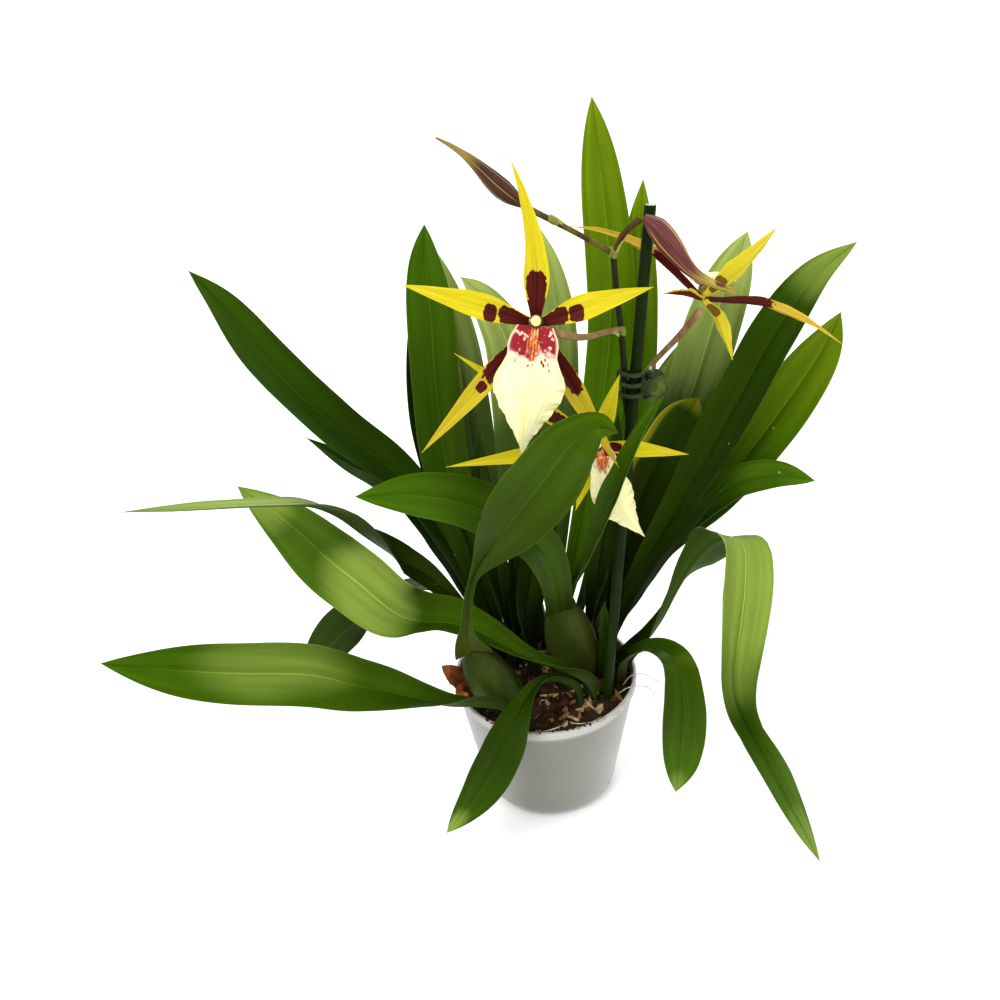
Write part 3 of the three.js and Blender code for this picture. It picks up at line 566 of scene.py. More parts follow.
    def ramp(self, value: Value, *stops: tuple[float, Colour | str]) -> Socket:
        """Runs through several colours."""
        node = self.nodes.new("ShaderNodeValToRGB")
        self.put(value, node.inputs[0])
        band = node.color_ramp
        for _ in range(len(stops) - 2):
            band.elements.new(0.5)
        for element, (place, tint) in zip(band.elements, stops):
            element.position = place
            element.color = colour(tint) if isinstance(tint, str) else tint
        return node.outputs[0]

    def bump(self, height: Value, depth: float, strength: float = 1.0) -> None:
        """Raises the surface by a height from 0 to 1, depth metres deep."""
        node = self.nodes.new("ShaderNodeBump")
        for name, value in (("Strength", strength), ("Distance", depth), ("Height", height)):
            self.put(value, node.inputs[name])
        self.links.new(node.outputs[0], self.surface.inputs["Normal"])

    def finish(self, tint: Value | Colour, rough: Value) -> Material:
        """Sets the surface's colour and roughness and gives the material."""
        self.put(tint, self.surface.inputs["Base Color"])
        self.put(rough, self.surface.inputs["Roughness"])
        return self.material


@dataclass(frozen=True)
class LeafSkin:
    """Waxy leaf skin that goes from a foot colour over a body colour to a tip colour; the foot is mostly
    darker as painted shade at the crowded base, and the bloom colour gives painted highlights.
    """

    name: str
    foot: str
    body: str
    tip: str
    rough: float = 0.42
    streak: float = 0.3
    rib: float = 0.6
    rib_half: tuple[float, float] = (0.035, 0.01)
    margin: float = 0.45
    margin_from: tuple[float, float] = (0.95, 1.0)
    cloud: float = 13.0
    # bloom: the colour of the painted highlight patches that the gleams lay on the leaf
    bloom: str = "82983e"
    pale_dot: str = "98a47a"
    dark_fleck: str = "141a08"
    dull: str = "3c4528"
    shine: float = 0.17
    under_shine: float = 0.08
    under_rough: float = 0.12

    def material(self, under: bool = False, gleams: tuple[Gleam, ...] = (), mark: str = "") -> Material:
        """Builds the skin of one face of a leaf.

        Args:
            under: True for the lower face, duller and darker.
            gleams: the painted highlight patches, if any.
            mark: what is added to the material's name.

        Returns:
            The material.
        """
        s = Shader(self.name + mark, under)
        u, v = s.uv()
        where = s.place()
        across = s.add(u, 2.0, -1.0)
        side = s.math("ABSOLUTE", across)
        drift = s.noise(where, self.cloud, 2.0)
        bands = s.strands(u, v, 5.0, 2.2, drift, 1.0)
        veins = s.strands(u, v, 40.0, 3.0, drift)
        fine = s.strands(u, v, 150.0, 9.0, drift)
        # the foot colour, mostly darker than the body, is painted shade where the leaves crowd at the base
        stops = ((0.04, self.foot), (0.3, self.body), (0.62, self.body), (0.98, self.tip))
        tint = s.ramp(s.sway(bands, 0.16, v), *stops)
        # painted highlights: each gleam lays a soft pale patch of the bloom colour
        for gleam in gleams:
            a, b = s.offset(v, across, gleam)
            reach = s.sway(veins, 0.35, s.sway(drift, 1.8, s.add(a, a, s.times(b, b))))
            tint = s.blend(tint, self.bloom, s.step(reach, 1.2, 0.0), gleam.share)
        tone: Value = 1.0
        for noise, amount in ((veins, self.streak), (bands, 0.8), (drift, 0.7), (fine, 0.14)):
            tone = s.sway(noise, amount, tone)
        tone = s.add(s.times(s.step(side, *self.rib_half), s.step(v, 1.0, 0.85)), self.rib, tone)
        tone = s.add(s.step(side, *self.margin_from), self.margin, tone)
        # the lower face: a duller grey-olive tint, which is its own colour, and a tenth darker, which is
        # painted shade
        if under:
            tint = s.blend(tint, self.dull, 0.25)
            tone = s.times(tone, 0.9)
        tint = s.scaled(tint, tone)
        tint = s.blend(tint, self.pale_dot, s.dots(where, 95.0, (0.09, 0.04), (0.935, 0.945)), 0.6)
        tint = s.blend(tint, self.dark_fleck, s.dots(where, 30.0, (0.07, 0.04), (0.955, 0.96)))
        groove = s.step(side, 0.0, 0.05)
        height = s.add(groove, 0.5, s.add(veins, 0.2, s.times(fine, 0.12)))
        s.bump(s.add(bands, 0.5, height), 0.0006, 0.6)
        s.flesh(0.04, (0.6, 1.0, 0.1))
        s.shine(self.under_shine if under else self.shine, (0.75, 1.0, 0.1, 1.0))
        return s.finish(tint, s.add(drift, 0.2, self.rough + (self.under_rough if under else 0.0) - 0.1))


class LeafTone(Enum):
    """The leaf skins of the plant."""

    # painted shade: a darker copy of the leaf skin for the leaves that stand in the clump's shade
    SHADED = LeafSkin("leaf_deep", "0a1302", "0e1d02", "162e03", rib=0.2, margin=0.3)
    DARK = LeafSkin("leaf_dark", "121c03", "162c02", "264203")
    GREEN = LeafSkin("leaf_green", "1d2a03", "253e02", "345404")
    OLIVE = LeafSkin("leaf_olive", "323a0a", "213501", "2f4a03", margin=0.7)
    FRESH = LeafSkin("leaf_fresh", "141f03", "3c5c03", "647c0b")
    BRIGHT = LeafSkin("leaf_bright", "202b04", "284203", "466416")
    # painted light: the grey-green glow of backlight and haze through the back leaves, lightest at the tip
    BACKLIT = LeafSkin("leaf_backlit", "121b05", "3a4c1e", "9eb05a", rough=0.48)
    STRAP = LeafSkin("leaf_strap", "1c2804", "192702", "6c7e3e")
    # painted shade as dark as the shaded tone, with a pale margin; its bloom colour is for painted highlights
    RIMMED = LeafSkin("leaf_rimmed", "0e1802", "101e02", "1c3403", margin=1.2, bloom="7c7c14")


@dataclass(frozen=True)
class PetalSkin:
    """Waxy yellow tepal with maroon marks."""

    name: str
    marks: tuple[Blotch, ...]
    body: str = "bcae10"
    glow: str = "ccc22a"
    mark: str = "300406"
    vein: str = "58090d"
    margin: str = "a8901c"
    dull: str = "b9a63a"
    through: float = 0.7

    def material(self, under: bool = False) -> Material:
        """Builds one face of a tepal.

        Args:
            under: True for the face that looks away from the bloom's front.

        Returns:
            The material.
        """
        s = Shader(self.name, under)
        u, v = s.uv()
        across = s.add(u, 2.0, -1.0)
        rough = s.noise(s.place(), 420.0, 3.0, 0.6)
        veins = s.strands(u, v, 26.0, 1.8)
        tint = s.ramp(veins, (0.3, self.margin), (0.48, self.body), (0.7, self.glow))
        if under:
            tint = s.blend(tint, self.dull, 0.3)
        cover: Value = 0.0
        for blotch in self.marks:
            a, b = (s.math("POWER", s.math("ABSOLUTE", part), 3.0) for part in s.offset(v, across, blotch))
            cover = s.math("MAXIMUM", cover, s.step(s.sway(rough, 1.5, s.math("ADD", a, b)), 1.06, 0.94))
        dark = s.blend(self.mark, self.vein, s.step(veins, 0.35, 0.7))
        tint = s.blend(tint, dark, cover, self.through if under else 1.0)
        s.bump(s.math("ADD", veins, s.times(rough, 0.3)), 0.0004, 0.6)
        s.flesh(0.2, (1.0, 0.8, 0.3))
        s.shine(0.12, (1.0, 0.9, 0.5, 1.0))
        return s.finish(tint, 0.5)


@dataclass(frozen=True)
class LipSkin:
    """Cream lip with crimson lobes, dots below them and pale margins."""

    name: str
    spread: float = 1.0
    creams: tuple[str, str, str] = ("e2dc92", "ece7ac", "f3f0c2")
    middle: str = "dfd77c"
    margin: str = "eee48c"
    blush: str = "e7a9ab"
    lobe: str = "86101f"
    dot: str = "8f1522"
    throat: str = "b8481c"

    def material(self, under: bool = False) -> Material:
        """Builds one face of the lip.

        Args:
            under: True for the back of the lip.

        Returns:
            The material.
        """
        s = Shader(self.name, under)
        u, v = s.uv()
        where = s.place()
        across = s.add(u, 2.0, -1.0)
        side = s.math("ABSOLUTE", across)
        veins = s.strands(u, v, 30.0, 2.0, detail=3.0)
        soft = s.noise(where, 120.0)
        tint = s.ramp(veins, *zip((0.3, 0.5, 0.7), self.creams))
        tint = s.blend(tint, self.middle, s.step(side, 0.3, 0.0), s.step(v, 0.25, 0.55), 0.3)
        tint = s.blend(tint, self.margin, s.step(side, 0.8, 1.0), 0.4)
        if not under:
            reach = s.sway(soft, 0.28, s.math("DIVIDE", v, self.spread))
            tint = s.blend(tint, self.blush, s.step(reach, 0.33, 0.17), 0.7)
            ragged = s.step(s.noise(where, 330.0, 2.0), 0.34, 0.42)
            tint = s.blend(tint, self.lobe, s.step(reach, 0.2, 0.165), s.step(side, 0.98, 0.86), ragged)
            spots = s.cells(s.vector(s.times(across, 7.0), s.times(v, 20.0), 0.0), 1.0)[0]
            zone = s.times(s.step(reach, 0.32, 0.27), s.step(side, 0.7, 0.55))
            tint = s.blend(tint, self.dot, s.step(spots, 0.38, 0.3), zone)
            tint = s.blend(tint, self.throat, s.step(side, 0.15, 0.08), s.step(reach, 0.24, 0.18))
        s.bump(s.add(veins, 0.8, s.times(soft, 0.6)), 0.0006, 0.8)
        s.flesh(0.25, (1.0, 0.9, 0.6))
        s.shine(0.2)
        return s.finish(tint, 0.6)


@dataclass(frozen=True)
class Skin:
    """A mottled, slightly uneven surface of two or three tints."""

    name: str
    low: str
    mid: str
    high: str
    rough: float = 0.5
    grain: float = 60.0
    stretch: Point = (1.0, 1.0, 1.0)
    relief: float = 0.0004
    soft: float = 0.0
    shine: float = 0.5

    def material(self) -> Material:
        """Builds the material."""
        s = Shader(self.name)
        where = s.vector(*(s.times(part, k) for part, k in zip(s.split(s.place()), self.stretch)))
        broad = s.noise(where, self.grain, 4.0, 0.6)
        fine = s.noise(where, self.grain * 7.0, 3.0, 0.6)
        tint = s.ramp(s.sway(fine, 0.3, broad), (0.3, self.low), (0.5, self.mid), (0.7, self.high))
        s.bump(s.add(fine, 0.4, broad), self.relief, 0.8)
        if self.soft:
            s.flesh(self.soft, (1.0, 0.7, 0.4))
        s.shine(self.shine, (0.95, 1.0, 0.6, 1.0))
        return s.finish(tint, s.add(broad, 0.2, self.rough - 0.1))


@dataclass(frozen=True)
class BudSkin:
    """Dusky bud skin with paler seams between its folded sepals."""

    name: str
    low: str
    high: str
    seam: str
    seams: float = 3.0
    tip: str = "a59a3e"
    tip_from: float = 0.72

    def material(self) -> Material:
        """Builds the material."""
        s = Shader(self.name)
        u, v = s.uv()
        turn = s.add(u, self.seams, s.times(v, 0.25))
        gap = s.math("ABSOLUTE", s.math("SUBTRACT", s.math("FRACT", turn), 0.5))
        veins = s.strands(u, v, 44.0, 2.5, detail=3.0)
        tint = s.ramp(veins, (0.34, self.low), (0.64, self.high))
        edge = s.times(s.step(gap, 0.4, 0.475), s.step(v, 0.02, 0.2))
        tint = s.blend(tint, self.seam, edge, 0.85)
        ends = s.step(s.add(veins, 0.2, v), self.tip_from, self.tip_from + 0.25)
        tint = s.blend(tint, self.tip, ends, 0.8)
        s.bump(s.math("SUBTRACT", s.times(veins, 0.5), edge), 0.0006, 0.8)
        s.flesh(0.1, (1.0, 0.5, 0.4))
        s.shine(0.18, (1.0, 0.85, 0.7, 1.0))
        return s.finish(tint, 0.5)


@dataclass(frozen=True)
class PotPlastic:
    """Thin white plastic, a little milky, with soil marks under the rim; its body is greyed by painted shade
    of the leaves, and its sides are lightened by painted light.
    """

    name: str = "pot_white"
    # body and pale: the white plastic painted down to grey, painted shade of the leaves over the pot; the rim
    # band stays paler
    body: str = "66685b"
    pale: str = "6f7164"
    rim: str = "aaa8a2"
    soil: str = "7d6350"
    soil_inside: str = "6c5444"
    # edge: painted light, the paler tint of the pot's sides towards its outline
    edge: str = "a8a3a6"
    fleck: str = "3a3a30"

    def material(self) -> Material:
        """Builds the material."""
        s = Shader(self.name)
        where = s.place()
        x, y, z = s.split(where)
        swirl = s.noise(where, 22.0)
        tint = s.ramp(swirl, (0.3, self.body), (0.7, self.pale))
        tint = s.blend(tint, self.rim, s.step(z, 0.08, 0.086))
        grime = s.step(s.noise(where, 160.0, 4.0), 0.5, 0.62)
        tint = s.blend(tint, self.soil, s.step(z, 0.0875, 0.0905), grime, 0.55)
        radius = s.math("SQRT", s.math("ADD", s.times(x, x), s.times(y, y)))
        wall = s.add(z, 0.168, 0.0432)
        inside = s.step(s.math("SUBTRACT", radius, wall), 0.0004, -0.0006)
        tint = s.blend(tint, self.soil_inside, inside, 0.4)
        # painted light: the sides of the pot, towards its outline, turn paler than its shaded middle
        facing = s.nodes.new("ShaderNodeLayerWeight").outputs["Facing"]
        tint = s.blend(tint, self.edge, s.step(facing, 0.35, 0.95), 0.75)
        tint = s.blend(tint, self.fleck, s.dots(where, 70.0, (0.1, 0.05), (0.95, 0.96)), 0.7)
        scuffs = s.noise(s.vector(s.times(x, 0.4), y, s.times(z, 3.0)), 260.0)
        s.bump(s.add(scuffs, 0.3, swirl), 0.0003, 0.5)
        s.flesh(0.25, (1.0, 1.0, 1.0), 0.003)
        return s.finish(tint, s.add(scuffs, 0.15, 0.32))


# Blades and rods.

ACROSS: tuple[float, ...] = (0.0, 0.035, 0.1, 0.2, 0.32, 0.46, 0.6, 0.74, 0.87, 0.96, 1.0)
SHAPE_SAMPLES = 241
SHAPE_BLUR = 23
MIDRIB = 1e-6
TIP_CROWDING = 1.25
TWIST_FROM = 0.35


@dataclass(frozen=True)
class Blade:
    """Thin folded blade along its midrib, widest at a share of its length, with a pointed tip.

    The upper face looks along `look`, and its halves rise from the midrib by the angles in `fold`.
    """

    path: tuple[Point, ...]
    width: float
    look: tuple[Point, ...]
    foot: float = 9.0
    widest: float = 0.52
    point: float = 2.7
    fold: tuple[float, ...] = (60.0, 24.0, 14.0, 10.0, 12.0)
    sheath: float = 0.0
    clasp: float = 0.2
    neck: float = 0.0
    thick: float = 1.05
    edge: float = 0.4
    end: float = 0.12
    groove: float = 0.3
    keel: float = 0.5
    ripple: float = 0.5
    waves: float = 3.0
    twist: float = 0.0
    rows: int = 60
    shape: tuple[float, ...] = ()
    seed: float = 0.0

    def half_width(self, t: Array) -> Array:
        """Half the width at shares t of the length."""
        if self.shape:
            ticks = np.linspace(0, 1, SHAPE_SAMPLES)
            fine = np.interp(ticks, np.linspace(0, 1, len(self.shape)), self.shape)
            kernel = np.hanning(SHAPE_BLUR)
            half = SHAPE_BLUR // 2
            padded = np.concatenate([np.full(half, fine[0]), fine, 2 * fine[-1] - fine[-2 : -half - 2 : -1]])
            smooth = np.convolve(padded, kernel / kernel.sum(), "valid")
            return np.maximum(self.end, 0.5 * self.width * np.interp(t, ticks, smooth))
        grown = self.foot + (self.width - self.foot) * ease((t - self.neck) / (self.widest - self.neck))
        past = np.clip((t - self.widest) / (1 - self.widest), 0, 1)
        sheath = self.sheath * (1 - ease(t / self.clasp))
        wander = 1 + 0.02 * np.sin(9 * t + self.seed) + 0.012 * np.sin(23 * t + 2 * self.seed)
        return np.maximum(self.end, 0.5 * (grown * (1 - past**self.point) * wander + sheath))

    def course(self, t: Array) -> tuple[Array, Array, Array]:
        """Midrib, upward direction and sideways direction at shares t of the length."""
        path = SmoothPath(self.path)
        tangent = path.tangent(t)
        normal = along(self.look, t)
        normal = unit(normal - np.sum(normal * tangent, axis=1, keepdims=True) * tangent)
        side = np.cross(tangent, normal)
        if self.twist:
            angle = np.radians(self.twist) * ease((t - TWIST_FROM) / (1 - TWIST_FROM))[:, None]
            cos, sin = np.cos(angle), np.sin(angle)
            normal, side = normal * cos + side * sin, side * cos - normal * sin
        return path.at(t), normal, side

    def build(self, name: str, upper: Material, lower: Material) -> Piece:
        """Makes the blade.

        Args:
            name: the object's name.
            upper: the material of the face that `look` points out of.
            lower: the material of the other face.

        Returns:
            The object.
        """
        s = np.array([-a for a in reversed(ACROSS[1:])] + list(ACROSS))
        t = 1 - (1 - np.linspace(0, 1, self.rows + 1)) ** TIP_CROWDING
        middle, normal, side = (rows[:, None] for rows in self.course(t))
        half = self.half_width(t)[:, None]
        lift = np.radians(along(self.fold, t))[:, None]
        turn = FULL_TURN * self.waves * t[:, None]
        wave = np.sin(turn + s + self.seed) + 0.5 * np.sin(2.3 * turn - 2 * s + self.seed)
        ripple = self.ripple * s**4 * wave * np.sin(np.pi * t)[:, None]
        groove = self.groove * np.minimum(1, half / 6) * np.exp(-((s / 0.05) ** 2))
        rise = half * np.abs(s) ** 1.3 * np.sin(lift) + ripple - groove
        top = middle + side * (half * s * np.cos(lift))[..., None] + normal * rise[..., None]
        flat = np.abs(s) < MIDRIB
        lean = np.where(flat, 0.0, -np.sign(s)) * np.sin(lift)
        upright = np.where(flat, 1.0, np.cos(lift))
        out = normal * upright[..., None] + side * lean[..., None]
        body = self.thick + (self.edge - self.thick) * np.abs(s) + self.keel * np.exp(-((s / 0.06) ** 2))
        bottom = top - out * (body * np.minimum(1, 0.25 + half / 5))[..., None]
        rings = np.concatenate([top, bottom[:, ::-1]], axis=1)
        u = (s * 0.998 + 1) / 2
        around = np.concatenate([u, u[::-1], u[:1]])
        slots = ([0] * len(s) + [1] * len(s)) * self.rows + [0, 0]
        return ringed(name, rings, [upper, lower], slots, (t, around), 55.0)


@dataclass(frozen=True)
class Rod:
    """Round or fluted stem of changing radius along a curve."""

    path: tuple[Point, ...]
    radii: tuple[float, ...]
    sides: int = 14
    rows: int = 40
    lobes: int = 0
    lobe_depth: float = 0.0
    bumps: float = 0.0
    even: bool = True

    def build(self, name: str, material: Material) -> Piece:
        """Makes the rod.

        Args:
            name: the object's name.
            material: its material.

        Returns:
            The object.
        """
        t = np.linspace(0, 1, self.rows + 1)
        path = SmoothPath(self.path)
        tangent = path.tangent(t)
        radius = along(self.radii, t)
        if self.even:
            radius = self._smooth(radius)
        normals = self._carry(tangent)
        turn = turns(self.sides)
        size = radius[:, None] * np.ones(self.sides)
        if self.lobes:
            size = size * (1 - self.lobe_depth * np.abs(np.cos(self.lobes * turn / 2)) ** 6)
        if self.bumps:
            size = size * (1 + self.bumps * np.sin(t * 61)[:, None] * np.sin(t * 17 + 1)[:, None])
        rings = (
            path.at(t)[:, None]
            + normals[:, None] * (size * np.cos(turn))[..., None]
            + np.cross(tangent, normals)[:, None] * (size * np.sin(turn))[..., None]
        )
        return ringed(name, rings, [material], None, (t, np.linspace(0, 1, self.sides + 1)))

    @staticmethod
    def _smooth(values: Array) -> Array:
        """Takes the corners off a list of radii."""
        for _ in range(3):
            inner = np.convolve(values, (0.25, 0.5, 0.25), "valid")
            values = np.concatenate([values[:1], inner, values[-1:]])
        return values

    @staticmethod
    def _carry(tangent: Array) -> Array:
        """Carries one normal along the curve without letting it spin."""
        start = np.cross(tangent[0], (0.3, 0.9, 0.2))
        normals = [start / np.linalg.norm(start)]
        for direction in tangent[1:]:
            moved = normals[-1] - np.dot(normals[-1], direction) * direction
            normals.append(moved / np.linalg.norm(moved))
        return np.array(normals)


# Pot and substrate.

AXIS = 0.01


@dataclass
class Pot:
    """Plain tapered pot with a rim band and drain holes."""

    rim: float = 60.0
    base: float = 44.5
    height: float = 90.0
    wall: float = 1.4
    floor: float = 2.0
    band: float = 5.5
    lip: float = 1.2
    corner: float = 8.0
    corner_rows: int = 6
    wall_rows: int = 8
    holes: int = 5
    hole_radius: float = 5.0
    hole_ring: float = 28.0
    hole_sides: int = 24
    drill: tuple[float, float] = (-4.0, 5.0)
    sides: int = 128

    def radius(self, z: float) -> float:
        """Outer radius of the wall at a height."""
        share = z / (self.height - self.band)
        return self.base + (self.rim - self.lip - self.base) * share

    def outline(self) -> list[tuple[float, float]]:
        """Radius and height round the pot's section, from the outside of its foot to the inside."""
        points = [(AXIS, 0.0), (self.base - self.corner, 0.0)]
        for k in range(1, self.corner_rows + 1):
            turn = math.pi / 2 * k / self.corner_rows
            z = self.corner * (1 - math.cos(turn))
            points.append((self.radius(z) - self.corner * (1 - math.sin(turn)), z))
        foot = self.height - self.band
        for k in range(1, self.wall_rows):
            z = self.corner + (foot - self.corner) * k / self.wall_rows
            points.append((self.radius(z), z))
        inside = self.rim - self.lip - self.wall
        points += [
            (self.radius(foot) - 0.1, foot - 0.25),
            (self.radius(foot) + 0.25, foot),
            (self.rim - 0.35, foot + 0.05),
            (self.rim, foot + 0.4),
            (self.rim, self.height - 0.8),
            (self.rim - 0.25, self.height - 0.25),
            (self.rim - 0.8, self.height),
            (inside + 0.8, self.height),
            (inside + 0.35, self.height - 0.3),
            (self.radius(foot) - self.wall, foot),
            (self.radius(self.corner) - self.wall, self.corner),
            (self.radius(0) - self.corner, self.floor),
            (AXIS, self.floor),
        ]
        return points

    def build(self) -> None:
        """Makes the pot and cuts its drain holes."""
        shell = ringed("pot_shell", lathe(self.outline(), self.sides), [PotPlastic().material()], crease=40.0)
        drills = []
        for k in range(self.holes):
            angle = FULL_TURN * k / self.holes
            centre = (self.hole_ring * math.cos(angle), self.hole_ring * math.sin(angle))
            tube = lathe([(self.hole_radius, z) for z in self.drill], self.hole_sides, centre)
            drills.append(ringed(f"drill_{k}", tube, []))
        cutter = join("drills", drills)
        cut = shell.modifiers.new("drain", "BOOLEAN")
        cut.object = cutter
        cut.operation = "DIFFERENCE"
        bpy.context.view_layer.update()
        dressed = shell.evaluated_get(bpy.context.evaluated_depsgraph_get())
        mesh = bpy.data.meshes.new_from_object(dressed)
        shell.modifiers.clear()
        shell.data = mesh
        bpy.data.objects.remove(cutter)
        settle(shell, ["pot"])


@dataclass
class Substrate:
    """Dark bark and coir that fills the pot, with loose chips and roots on top."""

    pot: Pot
    top: float = 85.3
    flat: float = 49.0
    edge: float = 82.0
    bottom: float = 2.4
    gap: float = 0.35
    sink: float = 0.6
    rows: int = 34
    sides: int = 110
    chips: int = 520
    chip_reach: float = 55.0
    crumbs: int = 26
    seed: int = 11

    def height(self, radius: float) -> float:
        """Height of the surface at a distance from the middle."""
        outer = self.pot.radius(self.edge)
        share = float(ease(np.array((radius - self.flat) / (outer - self.flat))))
        return self.top + (self.edge - self.top) * share

    def lump(self, x: float, y: float) -> float:
        """Small rise and fall of the surface."""
        coarse = lattice.noise(Vector((x * 0.09, y * 0.09, 0.4)))
        fine = lattice.noise(Vector((x * 0.35, y * 0.35, 3.1)))
        return 0.9 * coarse + 0.7 * fine

    def build(self) -> None:
        """Makes the filling, the chips, the roots and the crumbs."""
        self._filling()
        self._chips()
        self._roots()

    def _filling(self) -> None:
        """Makes the body of the substrate."""
        bark = Skin("bark_mix", "120a06", "24130b", "402515", 0.9, 180.0, relief=0.0012, shine=0.2).material()
        corner = self.pot.corner + 1
        low, high = (self.pot.radius(z) - self.pot.wall - self.gap for z in (corner, self.edge))
        outline = [(AXIS, self.bottom), (self.pot.radius(0) - corner, self.bottom), (low, corner)]
        outline.append((high, self.edge - self.sink))
        still = len(outline)
        outline += [(r, self.height(r) - self.sink) for r in np.linspace(high - 1.5, AXIS, self.rows)]
        rings = lathe(outline, self.sides)
        for ring in rings[still:]:
            ring[:, 2] += [self.lump(x, y) for x, y in ring[:, :2]]
        settle(ringed("substrate_fill", rings, [bark]), ["substrate"])

    def _chips(self) -> None:
        """Scatters chips of bark over the surface and a few crumbs on the rim."""
        draw = np.random.default_rng(self.seed)
        skins = [
            Skin("chip_dark", "140b06", "22130a", "3a2213", 0.85, 260.0, relief=0.0008, shine=0.2).material(),
            Skin("chip_red", "28120a", "402010", "5c3420", 0.85, 240.0, relief=0.0008, shine=0.2).material(),
            Skin("chip_tan", "4c3218", "6c4c2a", "927250", 0.85, 300.0, relief=0.0006, shine=0.25).material(),
            Skin("chip_pale", "6a5636", "887450", "ac9a74", 0.8, 300.0, relief=0.0005, shine=0.25).material(),
        ]
        whole = bmesh.new()
        for _ in range(self.chips):
            radius = self.chip_reach * math.sqrt(draw.random())
            angle = FULL_TURN * draw.random()
            x, y = radius * math.cos(angle), radius * math.sin(angle)
            long = 2.2 + 8.5 * draw.random() ** 2.2
            size = Vector((long, long * draw.uniform(0.35, 0.7), long * draw.uniform(0.2, 0.42)))
            kind = int(draw.choice(4, p=(0.42, 0.28, 0.2, 0.1)))
            spot = (x, y, self.height(radius) + self.lump(x, y) - 0.1 * size[2])
            self._chunk(whole, draw, spot, size, kind, 0.45)
        for _ in range(self.crumbs):
            angle = math.radians(draw.uniform(-135, -60))
            radius = self.pot.rim - draw.uniform(0.4, 3.4)
            spot = (radius * math.cos(angle), radius * math.sin(angle), self.pot.height + 0.25)
            long = draw.uniform(1.2, 3.2)
            kind = int(draw.choice(4, p=(0.3, 0.4, 0.2, 0.1)))
            self._chunk(whole, draw, spot, Vector((long, long * 0.6, long * 0.35)), kind, 0.15)
        settle(from_bmesh("bark_chips", whole, skins), [])

    @staticmethod
    def _chunk(
        whole: bmesh.types.BMesh, draw: np.random.Generator, spot: Point, size: Vector, kind: int, lean: float
    ) -> None:
        """Adds one angular chip.

        Args:
            whole: the mesh that takes it.
            draw: the source of random numbers.
            spot: its middle.
            size: its length, width and height.
            kind: its material.
            lean: how far it may tip over, in radians.
        """
        turn = Matrix.Rotation(draw.uniform(0, FULL_TURN), 3, "Z")
        turn = turn @ Matrix.Rotation(draw.normal(0, lean), 3, "X")
        turn = turn @ Matrix.Rotation(draw.normal(0, lean), 3, "Y")
        corners = []
        for _ in range(11):
            raw = Vector(draw.uniform(-0.5, 0.5, 3).tolist())
            raw *= 0.5 / max(abs(c) for c in raw) * draw.uniform(0.8, 1.0)
            point = turn @ Vector([raw[i] * size[i] for i in range(3)]) + Vector(spot)
            corners.append(whole.verts.new(point * MM))
        made = bmesh.ops.convex_hull(whole, input=corners)
        for item in made["geom"]:
            if isinstance(item, bmesh.types.BMFace):
                item.material_index = kind
        loose = [v for v in made["geom_interior"] if isinstance(v, bmesh.types.BMVert)]
        bmesh.ops.delete(whole, geom=loose, context="VERTS")

    @staticmethod
    def _roots() -> None:
        """Makes the creeping stock, the roots that arch out of the surface and wiry ends over the rim."""
        root = Skin("root_skin", "6c5c34", "8e7e52", "b2a276", 0.75, 300.0, relief=0.0004).material()
        wire = Skin("root_wire", "8c8a80", "b4b2a6", "d2d0c4", 0.7, 300.0).material()
        stock = ((-34, -27, 81.5), (-12, -20, 82), (20, -15, 82), (30, 4, 82), (14, 24, 82), (-18, 22, 82))
        anchor = (1.6, 1.4, 1.3)
        routes = (
            ((*stock, (-38, 6, 81.5)), (2.6, 3.2, 2.8), 60),
            (((18, -18, 81), (24, -30, 86.6), (29, -38, 84), (31, -44, 70)), (1.1, 1.2, 0.9), 30),
            (((4, -18, 81), (6, -34, 82), (14, -42, 85.4), (20, -46, 82), (22, -47, 66)),
             (1.0, 1.1, 0.8), 36),
            (((-30, -26, 80), (-30, -36, 60), (-24, -38, 30)), (1.5, 1.3, 1.2), 20),
            (((22, -12, 80), (26, -14, 55), (18, -10, 22)), anchor, 20),
            (((14, 22, 80), (18, 30, 56), (10, 34, 24)), anchor, 20),
            (((-30, 10, 80), (-38, 12, 58), (-30, 20, 26)), (1.5, 1.3, 1.2), 20),
        )
        rods = [
            Rod(path, radii, 10, rows, bumps=0.06).build(f"root_{k}", root)
            for k, (path, radii, rows) in enumerate(routes)
        ]
        settle(join("root_stock", rods), ["rhizome_roots"])
        wires = (
            ((46, -22, 85), (52, -24, 91), (60, -24, 91.5), (66, -22, 87), (70, -23, 80)),
            ((50, -14, 85), (55, -14, 92), (63, -13, 92), (69, -16, 90), (72, -20, 90.5)),
            ((30, -48, 84), (36, -50, 90.9), (41, -48, 91), (44, -40, 86)),
            ((-10, -50, 84), (-4, -55, 88), (4, -54, 89.5), (8, -47, 85)),
            ((12, -44, 84), (16, -50, 87.6), (25, -50, 88), (32, -42, 84.6)),
        )
        fine = [Rod(path, (0.32, 0.3, 0.2), 6, 28).build(f"wire_{k}", wire) for k, path in enumerate(wires)]
        settle(join("root_wires", fine), [])


# Bulbs, leaves and sheaths.

GROUND = 85.9


